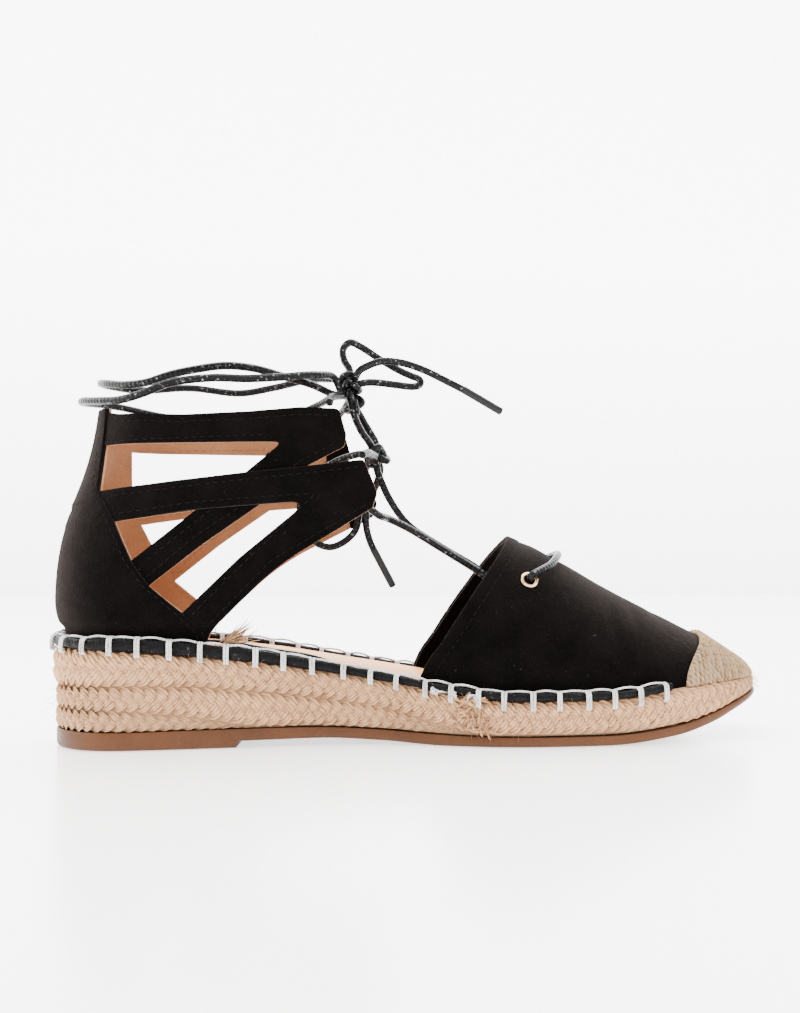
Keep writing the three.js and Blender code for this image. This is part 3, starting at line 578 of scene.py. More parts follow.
def closed_tube(bm, line, radius, sides=12):
    """A tube on a line that ends where it starts."""
    ahead = unit(np.roll(line[:-1], -1, 0) - np.roll(line[:-1], 1, 0))
    centre = line[:-1].mean(axis=0)
    sideways = unit(np.cross(ahead, line[:-1] - centre))
    raised = np.cross(ahead, sideways)
    turn = np.linspace(0, 2 * math.pi, sides + 1)
    turn[-1] = 0
    cosine, sine = np.cos(turn)[None, :, None], np.sin(turn)[None, :, None]
    ring = sideways[:, None] * cosine + raised[:, None] * sine
    points = line[:-1, None] + ring * radius
    skin(bm, np.concatenate([points, points[:1]]), closed=True)


KNOTS = {  # centre, size, tilt and thickness of each drawn-up turn
    "knot_upper": [
        (KNOT_UPPER, 0.0039, 1.1, 0.5), (KNOT_UPPER, 0.0028, 3.0, 0.44),
        (KNOT_HITCH, 0.0034, 2.1, 0.46),
    ],
    "knot_lower": [(KNOT_LOWER, 0.0042, 0.5, 0.5), (KNOT_LOWER, 0.003, 2.4, 0.44)],
}
for name, turns in KNOTS.items():
    bm = bmesh.new()
    for centre, size, tilt, thick in turns:
        closed_tube(bm, trefoil(centre, size, tilt), LACE * thick)
    piece(bm, name, waxed, [f"lace_{name}"], sharp=80)

# %% Aglets
TIPS = {
    "tip_front": ((0.141, -0.006, 0.1229), (0.154, -0.006, 0.1156)),
    "tip_inner": ((0.1086, 0.0142, 0.0654), (0.1154, 0.0146, 0.0524)),
}
aglet = Finish("aglet", Base_Color=(0.002, 0.002, 0.0024), Roughness=0.3, Specular_IOR_Level=0.25)
aglet.set(Normal=aglet.bump(aglet.noise(1800, 3), 0.00012), Roughness=0.22 + aglet.noise(700) * 0.3)
for name, (start, stop) in TIPS.items():
    bm = bmesh.new()
    start, stop = place(*start), place(*stop)
    line = evenly(np.array([start - unit(stop - start) * 0.0016, stop]), 0.0004)
    tube(bm, line, 0.00137, 16, taper=0.0004)
    piece(bm, name, aglet, [f"lace_{name}"], sharp=80)

# %% Free cords
CORDS = {  # stretches in order, the piece at the far end, and what that end is
    "lace_low_turn": (("tab_inner", "turn_low"), "knot_upper", "knot"),
    "lace_high_turn": (("tab_outer", "turn_high"), "knot_upper", "knot"),
    "lace_bow_front": (("tie_near", "loop_front"), "knot_upper", "knot"),
    "lace_tail_front": (("tie_far", "end_front"), "tip_front", "fitting"),
    "lace_bow_inner": (("arm_inner", "loop_inner"), "knot_lower", "knot"),
    "lace_tail_inner": (("arm_outer", "end_inner"), "tip_inner", "fitting"),
}


# The last step of a stretch into the heart of a knot, before its start or after its end.
INTO_KNOT = {
    "lace_bow_front": ([(0.1086, -0.0008, 0.1002)], [(0.1016, -0.003, 0.1247)]),
    "lace_tail_front": ([(0.1092, 0.0006, 0.1004)], []),
    "lace_bow_inner": ([], [(0.1072, 0.0014, 0.1)]),
}


def full_route(name, parts):
    before, after = INTO_KNOT.get(name, ([], []))
    points = list(before)
    for part in parts:
        run = ROUTES[part]
        points += run[::-1] if part.startswith("tie") else run
    return smooth_line(place(*np.array(points + after).T))


for name, (parts, end_piece, far_end) in CORDS.items():
    line = evenly(full_route(name, parts), 0.0005)
    bm = bmesh.new()
    tube(bm, line, LACE / 2, 12, taper=0.0006)
    cord = piece(bm, name, waxed, [f"lace_{part}" for part in parts], sharp=80)

# %% [markdown]
# ## The rubber outsole
# A thin moulded sheet with a heel block under the back third. It is a loft: one ring for each
# change in the side of the sheet, every ring following the outline of the sole, and the two
# ends closed by strips across, since they bend only along the foot.

# %% Rings round the sole
RING_HALF = 150
turns = math.pi * np.arange(RING_HALF + 1) / RING_HALF
BREAST = int(np.argmin(abs(LENGTH * (1 - np.cos(turns)) / 2 - HEEL_BREAST_X)))
for offset, x in ((0, HEEL_BREAST_X), (1, HEEL_BREAST_X + 0.0005)):
    turns[BREAST + offset] = math.acos(1 - 2 * x / LENGTH)
RING_TURNS = np.concatenate([-turns[:0:-1], turns[:-1]])  # toe, inner side, heel, outer side


def ring_at(inset, height):
    """A closed ring drawn in from the outline, at height(x of the same station)."""
    station = LENGTH * (1 - np.cos(RING_TURNS)) / 2
    x = inset + station * (LENGTH - 2 * inset) / LENGTH
    y = centre_y(x) + np.sign(RING_TURNS) * half_width(x, inset)
    return place(x, y, height(station))


def loft(bm, rings):
    count = len(rings[0])
    made = bmesh.ops.create_circle(bm, segments=count, radius=1)
    rim = made["verts"]
    loops = []
    for number, ring in enumerate(rings):
        if number:
            edges = [bm.edges.get((rim[i], rim[(i + 1) % count])) for i in range(count)]
            grown = bmesh.ops.extrude_edge_only(bm, edges=edges)["geom"]
            new = {v for v in grown if isinstance(v, bmesh.types.BMVert)}
            beyond = [[e.other_vert(v) for e in v.link_edges] for v in rim]
            rim = [next(v for v in others if v in new) for others in beyond]
        for vertex, point in zip(rim, ring.tolist()):
            vertex.co = point
        loops.append(rim)
    for rim in (loops[0], loops[-1]):
        bm.faces.new(rim)
        for i in range(1, count // 2):
            shared = next(face for face in rim[i].link_faces if rim[-i] in face.verts)
            bmesh.utils.face_split(shared, rim[i], rim[-i])


def underside(x):
    return np.where(x <= HEEL_BREAST_X + 0.0001, 0, column(SOLE, "under", x))


def rubber_top(x):
    return column(SOLE, "rubber", x)


rubber = Finish("rubber_sole", Roughness=0.5, Specular_IOR_Level=0.22)
wear = rubber.noise(45, 4)
speck = rubber.noise(900, 2)
brown = rubber.ramp(wear, (0.3, (0.066, 0.023, 0.0068)), (0.7, (0.1, 0.037, 0.0125)))
rubber.set(
    Base_Color=rubber.blend((speck - 0.62).clamped() * 1.3, brown, (0.19, 0.095, 0.05)),
    Roughness=0.42 + wear * 0.22,
    Normal=rubber.bump(speck * 0.5 + wear, 0.0002),
)

bm = bmesh.new()
lip = 0.0011
loft(bm, [
    ring_at(0.0024, underside),
    ring_at(0.0016, lambda x: underside(x) + 0.0003),
    ring_at(0.0012, lambda x: underside(x) + lip),
    ring_at(0.0012, lambda x: rubber_top(x) - 0.0006),
    ring_at(0.0015, rubber_top),
    ring_at(0.004, rubber_top),
])
piece(bm, "sole_rubber", rubber, ["outsole"], sharp=38)

# %% [markdown]
# ## Plaited jute
# The wedge is one long flat plait of three strands, wound round the sole in tiers and sewn to
# itself. Each strand is five jute yarns side by side. A plait is three copies of one wave, a
# third of a turn apart: across the plait the strand swings from edge to edge, and it rises over
# the next strand twice in each swing. Real yarns give the chevrons their depth, which a bump
# can't do on an edge that is seen from the side.

# %% Jute finish
YARN_TWIST = 0.0032


def jute_finish(name, pale, mid, dark, twist=YARN_TWIST, depth=0.3, painted_glints=0.0):
    made = Finish(name, Roughness=0.85, Specular_IOR_Level=0.25)
    made.set(Sheen_Weight=0.25, Sheen_Roughness=0.5, Sheen_Tint=(1, 0.9, 0.75))
    along, tone, across = made.value("along"), made.value("tone"), made.across()
    streak = made.noise(1, 3, made.vector(along * 260, across * 7, tone * 31), 0.6)
    ply = ((along * (2 * math.pi / twist) + across * (4 * math.pi)).sine() * 0.5 + 0.5) ** 0.6
    patch = made.noise(70, 3)
    # On the plait and the toe cap, tone holds each yarn's own tone plus painted shade where it lies
    # low; depth sets how much it darkens the colour.
    shade = (streak * 0.75 + tone * depth + patch * 0.5 - 0.3).clamped()
    colour = made.ramp(shade, (0.1, dark), (0.45, mid), (0.85, pale))
    fibre = (made.noise(1, 2, made.vector(along * 90, across * 22, tone * 57), 0.7) - 0.6) * 5
    colour = made.blend(fibre.clamped() * 0.55, colour, [min(1, c * 1.25) for c in pale])
    # Painted glints: pale specks in the colour that stand in for light catching the fibres.
    if painted_glints:
        painted_glint = ((made.noise(480, 2) - 0.56) * 8).clamped()
        colour = made.blend(painted_glint * painted_glints, colour, (1, 0.94, 0.82))
    made.set(
        Base_Color=colour,
        Roughness=0.7 + streak * 0.25,
        Normal=made.bump(streak * 1.3 + ply * 0.7, 0.0004),
    )
    return made


jute = jute_finish(
    "jute_braid", (0.7, 0.385, 0.19), (0.46, 0.228, 0.098), (0.12, 0.05, 0.018), depth=0.6
)
core_finish = jute_finish("jute_core", (0.5, 0.29, 0.15), (0.38, 0.21, 0.1), (0.2, 0.1, 0.045))

# %% The edge of the sole by distance from the heel
fine = np.linspace(-math.pi, math.pi, 2401)
edge_x = LENGTH * (1 - np.cos(fine)) / 2
edge_y = centre_y(edge_x) + np.sign(fine) * half_width(edge_x)
EDGE_S = lengths(np.stack([edge_x, edge_y], axis=1))
EDGE_S = EDGE_S - EDGE_S[len(fine) // 2]
EDGE_HALF = float(EDGE_S[-1])
slope_x, slope_y = np.gradient(edge_x, EDGE_S), np.gradient(edge_y, EDGE_S)


def edge(s, inset=0.0):
    """x, y and the outward direction at a distance from the heel; the inner side is negative."""
    x, y = np.interp(s, EDGE_S, edge_x), np.interp(s, EDGE_S, edge_y)
    out = unit(np.stack([-np.interp(s, EDGE_S, slope_y), np.interp(s, EDGE_S, slope_x)], axis=-1))
    return x - out[..., 0] * inset, y - out[..., 1] * inset, out


def edge_reach(x, side=-1):
    """Distance from the heel of a station on the inner (-1) or outer (1) side."""
    half = EDGE_S[: len(fine) // 2 + 1], edge_x[: len(fine) // 2 + 1]
    return side * abs(float(np.interp(-x, -half[1], half[0])))


def at_edge(s, inset, z):
    x, y, _ = edge(s, inset)
    return place(x, y, z)


print("round the sole", round(2 * EDGE_HALF, 4))

# %% The three tiers
SLIVER = 0.0004
PLAIT_PITCH = 0.0111
PLAIT_INSET = 0.0021
YARNS = 5


def bottom(x):
    return rubber_top(x) + GAP


def seam_low(x):
    return np.maximum(bottom(x) + SLIVER, column(SOLE, "seam_low", x))


def seam_high(x):
    return np.maximum(seam_low(x) + SLIVER, column(SOLE, "seam_high", x))


rng = np.random.default_rng(38)


def wander(s, size, waves=(0.011, 0.023, 0.06)):
    """A small smooth wobble along a yarn, never the same twice."""
    starts = rng.uniform(0, 2 * math.pi, len(waves))
    return size * sum(np.sin(2 * math.pi * s / w + p) for w, p in zip(waves, starts)) / len(waves)


def plait(bm, low, high, reach, closed=False):
    count = int(2 * reach / 0.00076)
    s = np.linspace(-reach, reach, count + 1)
    pitch = 2 * reach / round(2 * reach / PLAIT_PITCH) if closed else PLAIT_PITCH
    x, y, out = edge(s, PLAIT_INSET)
    middle, half = (low(x) + high(x)) / 2, (high(x) - low(x)) / 2
    thin = np.clip(half / 0.0055, 0.28, 1)
    outward = np.column_stack([out, np.zeros(len(s))])
    for strand in range(3):
        phase = 2 * math.pi * (s / pitch + strand / 3)
        swing = np.arcsin(0.94 * np.sin(phase)) / math.asin(0.94)
        over = np.sin(2 * phase)
        strand_z = middle + swing * half * 0.575
        run, rise = np.gradient(s, s), np.gradient(strand_z, s)
        long = np.hypot(run, rise)
        width = half * 0.49
        for yarn in range(YARNS):
            offset = (yarn - (YARNS - 1) / 2) / ((YARNS - 1) / 2)
            side = offset * width * 0.8 + wander(s, 0.00016)
            depth = thin * (0.0013 * over + 0.0006 * (1 - offset**2)) + wander(s, 0.00012) - 0.0003
            yarn_s = s - side * rise / long
            px, py, _ = edge(np.clip(yarn_s, -EDGE_HALF, EDGE_HALF), PLAIT_INSET)
            line = place(px, py, strand_z + side * run / long) + outward * depth[:, None]
            radius = width / YARNS * 1.12
            turn = np.linspace(0, 2 * math.pi, 7)
            turn[-1] = 0
            ahead = unit(np.gradient(line, axis=0))
            sideways = unit(np.cross(outward, ahead))
            raised = np.cross(ahead, sideways)
            ring = (
                sideways[:, None] * np.cos(turn)[None, :, None]
                + raised[:, None] * np.sin(turn)[None, :, None] * 0.8
            )
            points = line[:, None] + ring * radius[:, None, None]
            if closed:
                points[-1] = points[0]
            distance = s * long.mean() + 0.001 * yarn
            # Painted shade: each yarn's own random tone, made lighter where its strand rises over
            # the next and darker where it dips under.
            shaded = 0.2 + 0.5 * float(rng.uniform()) + 0.6 * over
            skin(bm, points, along=distance, tone=shaded, closed=closed)


TIERS = {
    "jute_tier_top": (seam_high, jute_top, EDGE_HALF, True),
    "jute_tier_middle": (seam_low, seam_high, abs(edge_reach(0.146)), False),
    "jute_tier_low": (bottom, seam_low, abs(edge_reach(0.079)), False),
}
for name, (low, high, reach, closed) in TIERS.items():
    bm = bmesh.new()
    plait(bm, low, high, reach, closed)
    piece(bm, name, jute, sharp=180)

bm = bmesh.new()
loft(bm, [
    ring_at(0.0034, bottom),
    ring_at(0.0023, lambda x: bottom(x) + 0.0006),
    ring_at(0.0023, lambda x: jute_top(x) - 0.0012),
    ring_at(0.0036, jute_top),
])
piece(bm, "jute_core", core_finish, ["midsole"], sharp=60)

# %% [markdown]
# ## Insole
# A thin board covered in smooth tan leather lies inside the foot of the upper. It is a loft on
# the same rings, laid on the top of the jute.

# %% Insole and its leather
def leather(name, pale, dark, roughness=0.5):
    made = Finish(name, Roughness=roughness, Specular_IOR_Level=0.15)
    grain = made.node("ShaderNodeTexVoronoi", {"feature": "DISTANCE_TO_EDGE"},
                      {"Vector": made.place(), "Scale": 1400})
    cloud = made.noise(38, 4)
    pores = made.noise(1500, 2)
    made.set(
        Base_Color=made.ramp(cloud * 0.8 + pores * 0.25, (0.3, dark), (0.75, pale)),
        Roughness=roughness - 0.1 + cloud * 0.25,
        Normal=made.bump(grain + pores * 0.6 + cloud * 0.6, 0.00025),
    )
    return made


insole_leather = leather("insole_tan", (0.9, 0.43, 0.155), (0.76, 0.33, 0.105))
lining = leather("lining_tan", (0.36, 0.172, 0.082), (0.22, 0.094, 0.041), 0.55)
BOARD = 0.0023
BOARD_INSET = UPPER_INSET + WALL + 0.0004
bm = bmesh.new()
loft(bm, [
    ring_at(BOARD_INSET, lambda x: jute_top(x) + GAP),
    ring_at(BOARD_INSET, lambda x: jute_top(x) + GAP + BOARD - 0.0007),
    ring_at(BOARD_INSET + 0.0003, lambda x: jute_top(x) + GAP + BOARD - 0.0002),
    ring_at(BOARD_INSET + 0.0009, lambda x: jute_top(x) + GAP + BOARD),
])
piece(bm, "insole_board", insole_leather, ["insole"], sharp=40)

# %% [markdown]
# ## Vamp
# The vamp is one shell over the front of the foot. Its section at each station is a half ellipse
# that stands on the outline of the sole, and a ridge line gives its height. The throat edge is
# found on that surface, so the grid's first row is the real cut edge.

# %% The vamp's surface
ridge_line = smooth_line([(x, 0, z) for x, z in RIDGE], 60)
RIDGE_S = lengths(ridge_line) / lengths(ridge_line)[-1]


def vamp_point(along, around):
    along, around = np.broadcast_arrays(along, around)
    x = np.interp(along, RIDGE_S, ridge_line[:, 0])
    top = np.interp(along, RIDGE_S, ridge_line[:, 2])
    foot = jute_top(x) + GAP
    angle = math.pi * around
    height = np.where(along >= 1, 0, top - foot)
    y = centre_y(x) - half_width(x, UPPER_INSET) * np.cos(angle)
    return place(x, y, foot + height * np.sin(angle))


def vamp_normal(along, around):
    step = 0.004
    a0, a1 = np.clip(along - step, 0, 1), np.clip(along + step, 0, 0.999)
    b0, b1 = np.clip(around - step, 0.002, 1), np.clip(around + step, 0, 0.998)
    forward = vamp_point(a1, around) - vamp_point(np.minimum(a0, 0.99), around)
    over = vamp_point(along, b1) - vamp_point(along, b0)
    return unit(np.cross(forward, over))


def along_where(ahead_of, around):
    """For each place round the vamp, how far along it first gets ahead of a cut line."""
    fine_along = np.linspace(0, 0.999, 700)
    points = vamp_point(fine_along[None, :], np.asarray(around)[:, None])
    past = ahead_of(points) > 0
    last_behind = past.shape[1] - 1 - np.argmax(~past[:, ::-1], axis=1)
    return fine_along[np.minimum(last_behind + 1, len(fine_along) - 1)]


throat_line = smooth_line([(x, 0, z) for x, z in THROAT], 40)


def ahead_of_throat(points):
    cut = np.interp(points[..., 2], throat_line[:, 2], throat_line[:, 0])
    return points[..., 0] + LENGTH / 2 - cut


CAP_CENTRE_X, CAP_SIDE_X, CAP_HALF = 0.2255, 0.21, 0.033


def ahead_of_cap_edge(points):
    sideways = abs(points[..., 1] - centre_y(CAP_SIDE_X)) / CAP_HALF
    cut = CAP_CENTRE_X - (CAP_CENTRE_X - CAP_SIDE_X) * np.minimum(1.15, sideways**2.8)
    return points[..., 0] + LENGTH / 2 - cut


def along_at(x):
    return float(np.interp(x, ridge_line[:, 0], RIDGE_S))


# %% Suede
def suede_finish(name):
    made = Finish(name, Roughness=0.92, Specular_IOR_Level=0.02)
    made.set(Sheen_Weight=0.13, Sheen_Roughness=0.42, Sheen_Tint=(0.62, 0.5, 0.45))
    nap = made.noise(2600, 3)
    brushed = made.noise(95, 4, roughness=0.6)
    lint = ((made.noise(620, 2) - 0.735) * 14).clamped()
    black = made.ramp(brushed, (0.35, (0.0009, 0.0007, 0.0007)), (0.75, (0.0028, 0.0022, 0.0021)))
    made.set(
        Base_Color=made.blend(lint * 0.2, black, (0.16, 0.14, 0.13)),
        Roughness=0.85 + nap * 0.12,
        Normal=made.bump(nap * 1.2 + brushed * 1.6, 0.00035),
    )
    return made


suede = suede_finish("suede_black")
FOLD = 0.0046  # the turned-over edge of a panel, up to its row of stitches


def rim_slab(bm, columns, rows, width, length, thick, round_edge):
    """A flat closed slab with a rounded upper rim; returns its points as across, along, height."""
    made = bmesh.ops.create_grid(bm, x_segments=columns, y_segments=rows, size=0.5)
    bmesh.ops.scale(bm, vec=(width, length, 1), verts=made["verts"])
    lower = bm.faces[:]
    top = bmesh.ops.extrude_face_region(bm, geom=lower, use_keep_orig=True)["geom"]
    raised = [v for v in top if isinstance(v, bmesh.types.BMVert)]
    bmesh.ops.translate(bm, vec=(0, 0, thick), verts=raised)
    rim = [e for e in bm.edges if len(e.link_faces) == 2 and e.calc_face_angle(0) > 1.2]
    rim = [e for e in rim if all(v.co.z > thick / 2 for v in e.verts)]
    bmesh.ops.bevel(
        bm, geom=rim, offset=round_edge, segments=3, profile=0.5, affect="EDGES", material=-1
    )
    return np.array([v.co for v in bm.verts])


def lay(bm, points):
    for vertex, point in zip(bm.verts, points.tolist()):
        vertex.co = point


def smooth_step(a, b, value):
    t = np.clip((value - a) / (b - a), 0, 1)
    return t * t * (3 - 2 * t)


def vamp_shell(
    name, outer, inner, finish, columns, rows, start, replaces=(), relief=None,
    reach=None, inset=0.0,
):
    """A layer of the vamp between two distances from its surface, whole or only so far ahead."""
    bm = bmesh.new()
    width, length, thick = 0.13, 0.1, outer - inner
    flat = rim_slab(bm, columns, rows, width, length, thick, min(0.0004, thick * 0.45))
    around = np.clip(flat[:, 0] / width + 0.5, 0, 1)
    way = np.clip(flat[:, 1] / length + 0.5, 0, 1)
    first = np.interp(around, np.linspace(0, 1, 401), along_where(start, np.linspace(0, 1, 401)))
    first = first + inset / lengths(ridge_line)[-1]
    ahead = (1 - first) * (0.35 * way + 0.65 * np.sin(math.pi / 2 * way)) * 0.9995
    if reach:
        ahead = reach / lengths(ridge_line)[-1] * way
    along = first + ahead
    lift = inner + (outer - inner) * flat[:, 2] / thick
    if relief:
        lift = lift + relief(along, around, first) * (flat[:, 2] > thick * 0.3)
    lay(bm, vamp_point(along, around) + vamp_normal(along, around) * lift[:, None])
    bmesh.ops.remove_doubles(bm, verts=bm.verts, dist=1e-6)
    return piece(bm, name, finish, replaces, sharp=60)


def vamp_relief(along, around, first):
    """The doubled edge at the throat, and soft dents where the lace pulls and the toe bends."""
    ridge_length = lengths(ridge_line)[-1]
    from_edge = (along - first) * ridge_length
    fold = 0.00035 * (1 - smooth_step(FOLD - 0.0004, FOLD + 0.0006, from_edge))
    stitch_line = -0.0003 * np.exp(-(((from_edge - FOLD) / 0.0005) ** 2))
    bends = sum(
        -0.00028 * np.exp(-(((along - at) / 0.016) ** 2) - ((around - where) / 0.1) ** 2)
        for at, where in ((0.62, 0.3), (0.7, 0.42), (0.66, 0.68), (0.55, 0.22), (0.78, 0.55))
    )
    pull = 0.0004 * np.exp(-(((along - along_at(0.166)) / 0.03) ** 2) - ((around - 0.5) / 0.2) ** 2)
    return fold + stitch_line + bends + pull


vamp_shell(
    "vamp_suede", 0, -0.0011, suede, 150, 110, ahead_of_throat, ["vamp"],
    vamp_relief,
)
vamp_shell(
    "vamp_lining", -0.0011, -WALL, lining, 70, 50, ahead_of_throat, inset=0.0012
)
vamp_shell(
    "vamp_facing", -WALL + 0.0005, -WALL - 0.0006, suede, 90, 6, ahead_of_throat,
    reach=0.0125, inset=0.0002,
)

# %% [markdown]
# ## Toe cap
# The cap is a patch of coarse jute cloth in plain weave. Both sets of threads are worked into
# the shape: at each point the thread that is on top gives the height, so the cloth has real
# crowns and holes. Each thread keeps its own tone, with painted shade darkening it in the holes
# and painted glints as pale specks.

# %% Woven toe cap
WEAVE = 0.00195
weave_finish = jute_finish(
    "jute_weave", (1.0, 0.72, 0.4), (0.84, 0.47, 0.2), (0.16, 0.06, 0.016), 0.0021,
    depth=1.0, painted_glints=0.4,
)
glint = ((weave_finish.noise(520, 2) - 0.6) * 9).clamped()
weave_finish.set(Roughness=0.8 - glint * 0.4)


def weave(u, v):
    """Height, tone and run along the upper thread of a plain weave; u and v count threads."""
    i, j = np.floor(u), np.floor(v)
    a, b = 2 * (u - i) - 1, 2 * (v - j) - 1
    warp = np.sqrt(np.clip(1 - 0.8 * a**2, 0, 1)) * 0.6 + 0.4 * np.cos(math.pi * (v - 0.5 + i))
    weft = np.sqrt(np.clip(1 - 0.8 * b**2, 0, 1)) * 0.6 - 0.4 * np.cos(math.pi * (u - 0.5 + j))
    tone = np.where(warp > weft, np.sin(i * 12.9898) * 43758.5, np.sin(j * 78.233) * 24634.6) % 1
    return np.maximum(warp, weft), tone, np.where(warp > weft, v, u)


bm = bmesh.new()
columns, rows, cap_thick = 270, 112, 0.0014
flat = rim_slab(bm, columns, rows, 0.1, 0.045, cap_thick, 0.0003)
around = np.clip(flat[:, 0] / 0.1 + 0.5, 0, 1)
way = np.clip(flat[:, 1] / 0.045 + 0.5, 0, 1)
edge_around = np.linspace(0, 1, 801)
first = np.interp(around, edge_around, along_where(ahead_of_cap_edge, edge_around))
along = first + (1 - first) * (0.5 * way + 0.5 * np.sin(math.pi / 2 * way)) * 0.9995
fine_round = np.linspace(0, 1, 161)
ladder = np.linspace(along.min(), 1, 60)
sections = vamp_point(ladder[:, None], fine_round[None, :])
pieces = np.linalg.norm(np.diff(sections, axis=1), axis=2)
girth = np.concatenate([np.zeros((60, 1)), np.cumsum(pieces, axis=1)], axis=1)
girth = girth - girth[:, 80:81]
row = np.interp(along, ladder, np.arange(60))
low_row = np.minimum(row.astype(int), 58)
share = row - low_row
column_at = around * 160
low_column = np.minimum(column_at.astype(int), 159)
part = column_at - low_column


def along_row(values, at_row):
    return values[at_row, low_column] * (1 - part) + values[at_row, low_column + 1] * part


def from_grid(values):
    return along_row(values, low_row) * (1 - share) + along_row(values, low_row + 1) * share


across_cloth = from_grid(girth)
down_cloth = along * lengths(ridge_line)[-1]
height, thread_tone, thread_way = weave(
    (across_cloth + 0.21 * down_cloth) / WEAVE, down_cloth / WEAVE
)
from_edge = (along - first) * lengths(ridge_line)[-1]
inner_part = smooth_step(0, 0.0012, from_edge)
lift = GAP + flat[:, 2] * (0.55 + 0.45 * inner_part)
lift = lift + (flat[:, 2] > cap_thick * 0.3) * (height - 0.75) * 0.0026
lay(bm, vamp_point(along, around) + vamp_normal(along, around) * lift[:, None])
layer = layers(bm)
# Painted shade: each thread's own tone, darkened where the weave dips into its holes.
shaded = 0.35 * thread_tone + 0.9 * np.clip((height - 0.35) / 0.65, 0, 1) - 0.58
for vertex, tone, far in zip(bm.verts, shaded, thread_way * WEAVE):
    vertex[layer[1]] = far + 0.31 * tone
    vertex[layer[2]] = tone
bmesh.ops.remove_doubles(bm, verts=bm.verts, dist=1e-6)
piece(bm, "toe_cap_weave", weave_finish, ["toe_cap"], sharp=180)

# %% [markdown]
# ## Quarter
# The quarter holds the heel. It is sewn from a counter that wraps the back and two forked
# straps on each side: the upper fork ties at the ankle, and the lower fork passes outside it.
# Each panel starts as its own flat pattern, as it would be cut from the hide: one face, pushed
# up to its thickness, its rim rounded, then sliced by a grid so that it can bend, and last laid
# on the last. Slicing a cut pattern keeps its outline exact, which a boolean on a bent shell
# would not.

# %% The quarter's surface
HEEL_ROUND_LOW, HEEL_ROUND_TOP = 0.026, 0.017
QUARTER_FRONT_X = 0.118
BACK_STEPS, SIDE_STEPS = 8, 6


def back_of(z):
    narrowing = column(COUNTER, "narrowing", z)
    round_length = HEEL_ROUND_LOW + (HEEL_ROUND_TOP - HEEL_ROUND_LOW) * narrowing
    return column(COUNTER, "back", z), narrowing, round_length


def quarter_point(z, step):
    """A point at height z; step is counted from the middle of the back, inner side negative."""
    back, narrowing, round_length = back_of(z)
    angle = math.pi / 2 * np.minimum(1, abs(step) / BACK_STEPS)
    forward = np.maximum(0, abs(step) - BACK_STEPS) / SIDE_STEPS
    round_end = back + round_length
    x = round_end - round_length * np.cos(angle) + forward * (QUARTER_FRONT_X - round_end)
    low = column(OUTLINE, "half", x) - column(COUNTER, "side_inset", z)
    top = column(COLLAR, "half", x)
    half = (low + (top - low) * narrowing) * np.sin(angle) ** 0.92
    return place(x, centre_y(x) * (1 - narrowing) + np.sign(step) * half, z)


def quarter_normal(z, step):
    round_it = quarter_point(z, step + 0.06) - quarter_point(z, step - 0.06)
    up = quarter_point(z + 0.0005, step) - quarter_point(z - 0.0005, step)
    return unit(np.cross(up, round_it))


def step_at(x, z, side):
    """The step of a point seen from the side at x and z."""
    back, _, round_length = back_of(z)
    round_end = back + round_length
    angle = np.arccos(np.clip((round_end - x) / round_length, 0, 1))
    forward = np.maximum(0, (x - round_end) / (QUARTER_FRONT_X - round_end))
    return side * (BACK_STEPS * angle / (math.pi / 2) + SIDE_STEPS * forward)


flat_steps = np.linspace(-14, 14, 561)
flat_p = lengths(quarter_point(0.075, flat_steps))
flat_p = flat_p - flat_p[280]

# %% Patterns seen from the side
OUTER_SHIFT = (-0.002, 0.0012)  # the cut-outs of the outer side sit further back and higher
SHIFTS = ((0, 0), OUTER_SHIFT, (-0.0035, 0.001), (-0.0062, 0), (0.0012, 0))
# Points are x, z, corner radius, and which row of SHIFTS moves them on the outer side:
# 0 the rim, 1 a cut-out, 2 and 3 the front of the lower fork, 4 the upper front of the counter.
UPPER_FORK = [
    (0.012, 0.1131, 0.001, 0), (0.024, 0.1106, 0.006, 0), (0.046, 0.11, 0.006, 0),
    (0.067, 0.111, 0.006, 0), (0.084, 0.1126, 0.006, 0), (0.0966, 0.1123, 0.002, 0),
    (0.099, 0.1038, 0.003, 0), (0.0984, 0.0998, 0.001, 0), (0.086, 0.0932, 0.0015, 0),
    (0.0702, 0.0798, 0.03, 1), (0.0524, 0.067, 0.08, 1), (0.036, 0.0536, 0.01, 1),
    (0.0285, 0.046, 0.002, 1), (0.022, 0.056, 0.002, 1), (0.0299, 0.0613, 0.01, 1),
    (0.0503, 0.0783, 0.06, 1), (0.0662, 0.0908, 0.02, 1), (0.0783, 0.1011, 0.0012, 1),
    (0.0221, 0.1004, 0.06, 1), (0.012, 0.1003, 0.001, 1),
]
LOWER_FORK = [
    (0.0115, 0.0838, 0.001, 1), (0.0208, 0.085, 0.03, 1), (0.042, 0.0876, 0.03, 1),
    (0.0662, 0.0908, 0.03, 1), (0.086, 0.0932, 0.03, 0), (0.1048, 0.0956, 0.0015, 0),
    (0.1092, 0.0846, 0.003, 0), (0.1076, 0.0794, 0.002, 0), (0.0757, 0.0596, 0.09, 2),
    (0.0545, 0.0375, 0.004, 3), (0.0525, 0.0306, 0.001, 3), (0.036, 0.0322, 0.001, 0),
    (0.0462, 0.0444, 0.004, 1), (0.064, 0.0624, 0.06, 1), (0.0866, 0.0816, 0.0025, 1),
    (0.0702, 0.0802, 0.03, 1), (0.0506, 0.0784, 0.03, 1), (0.0248, 0.0745, 0.03, 1),
    (0.0115, 0.0732, 0.001, 1),
]
COUNTER_FRONT = [
    (0.0194, 0.1106, 0.001, 4), (0.0189, 0.0989, 0.004, 4), (0.0183, 0.0848, 0.004, 4),
    (0.0246, 0.0741, 0.004, 1), (0.0306, 0.0609, 0.004, 1), (0.0363, 0.0531, 0.004, 1),
    (0.0463, 0.0445, 0.004, 1), (0.0526, 0.038, 0.003, 3), (0.0535, 0.0306, 0.001, 3),
]


def shifted(points, side):
    moved = side > 0
    return [(x + moved * SHIFTS[k][0], z + moved * SHIFTS[k][1], r) for x, z, r, k in points]


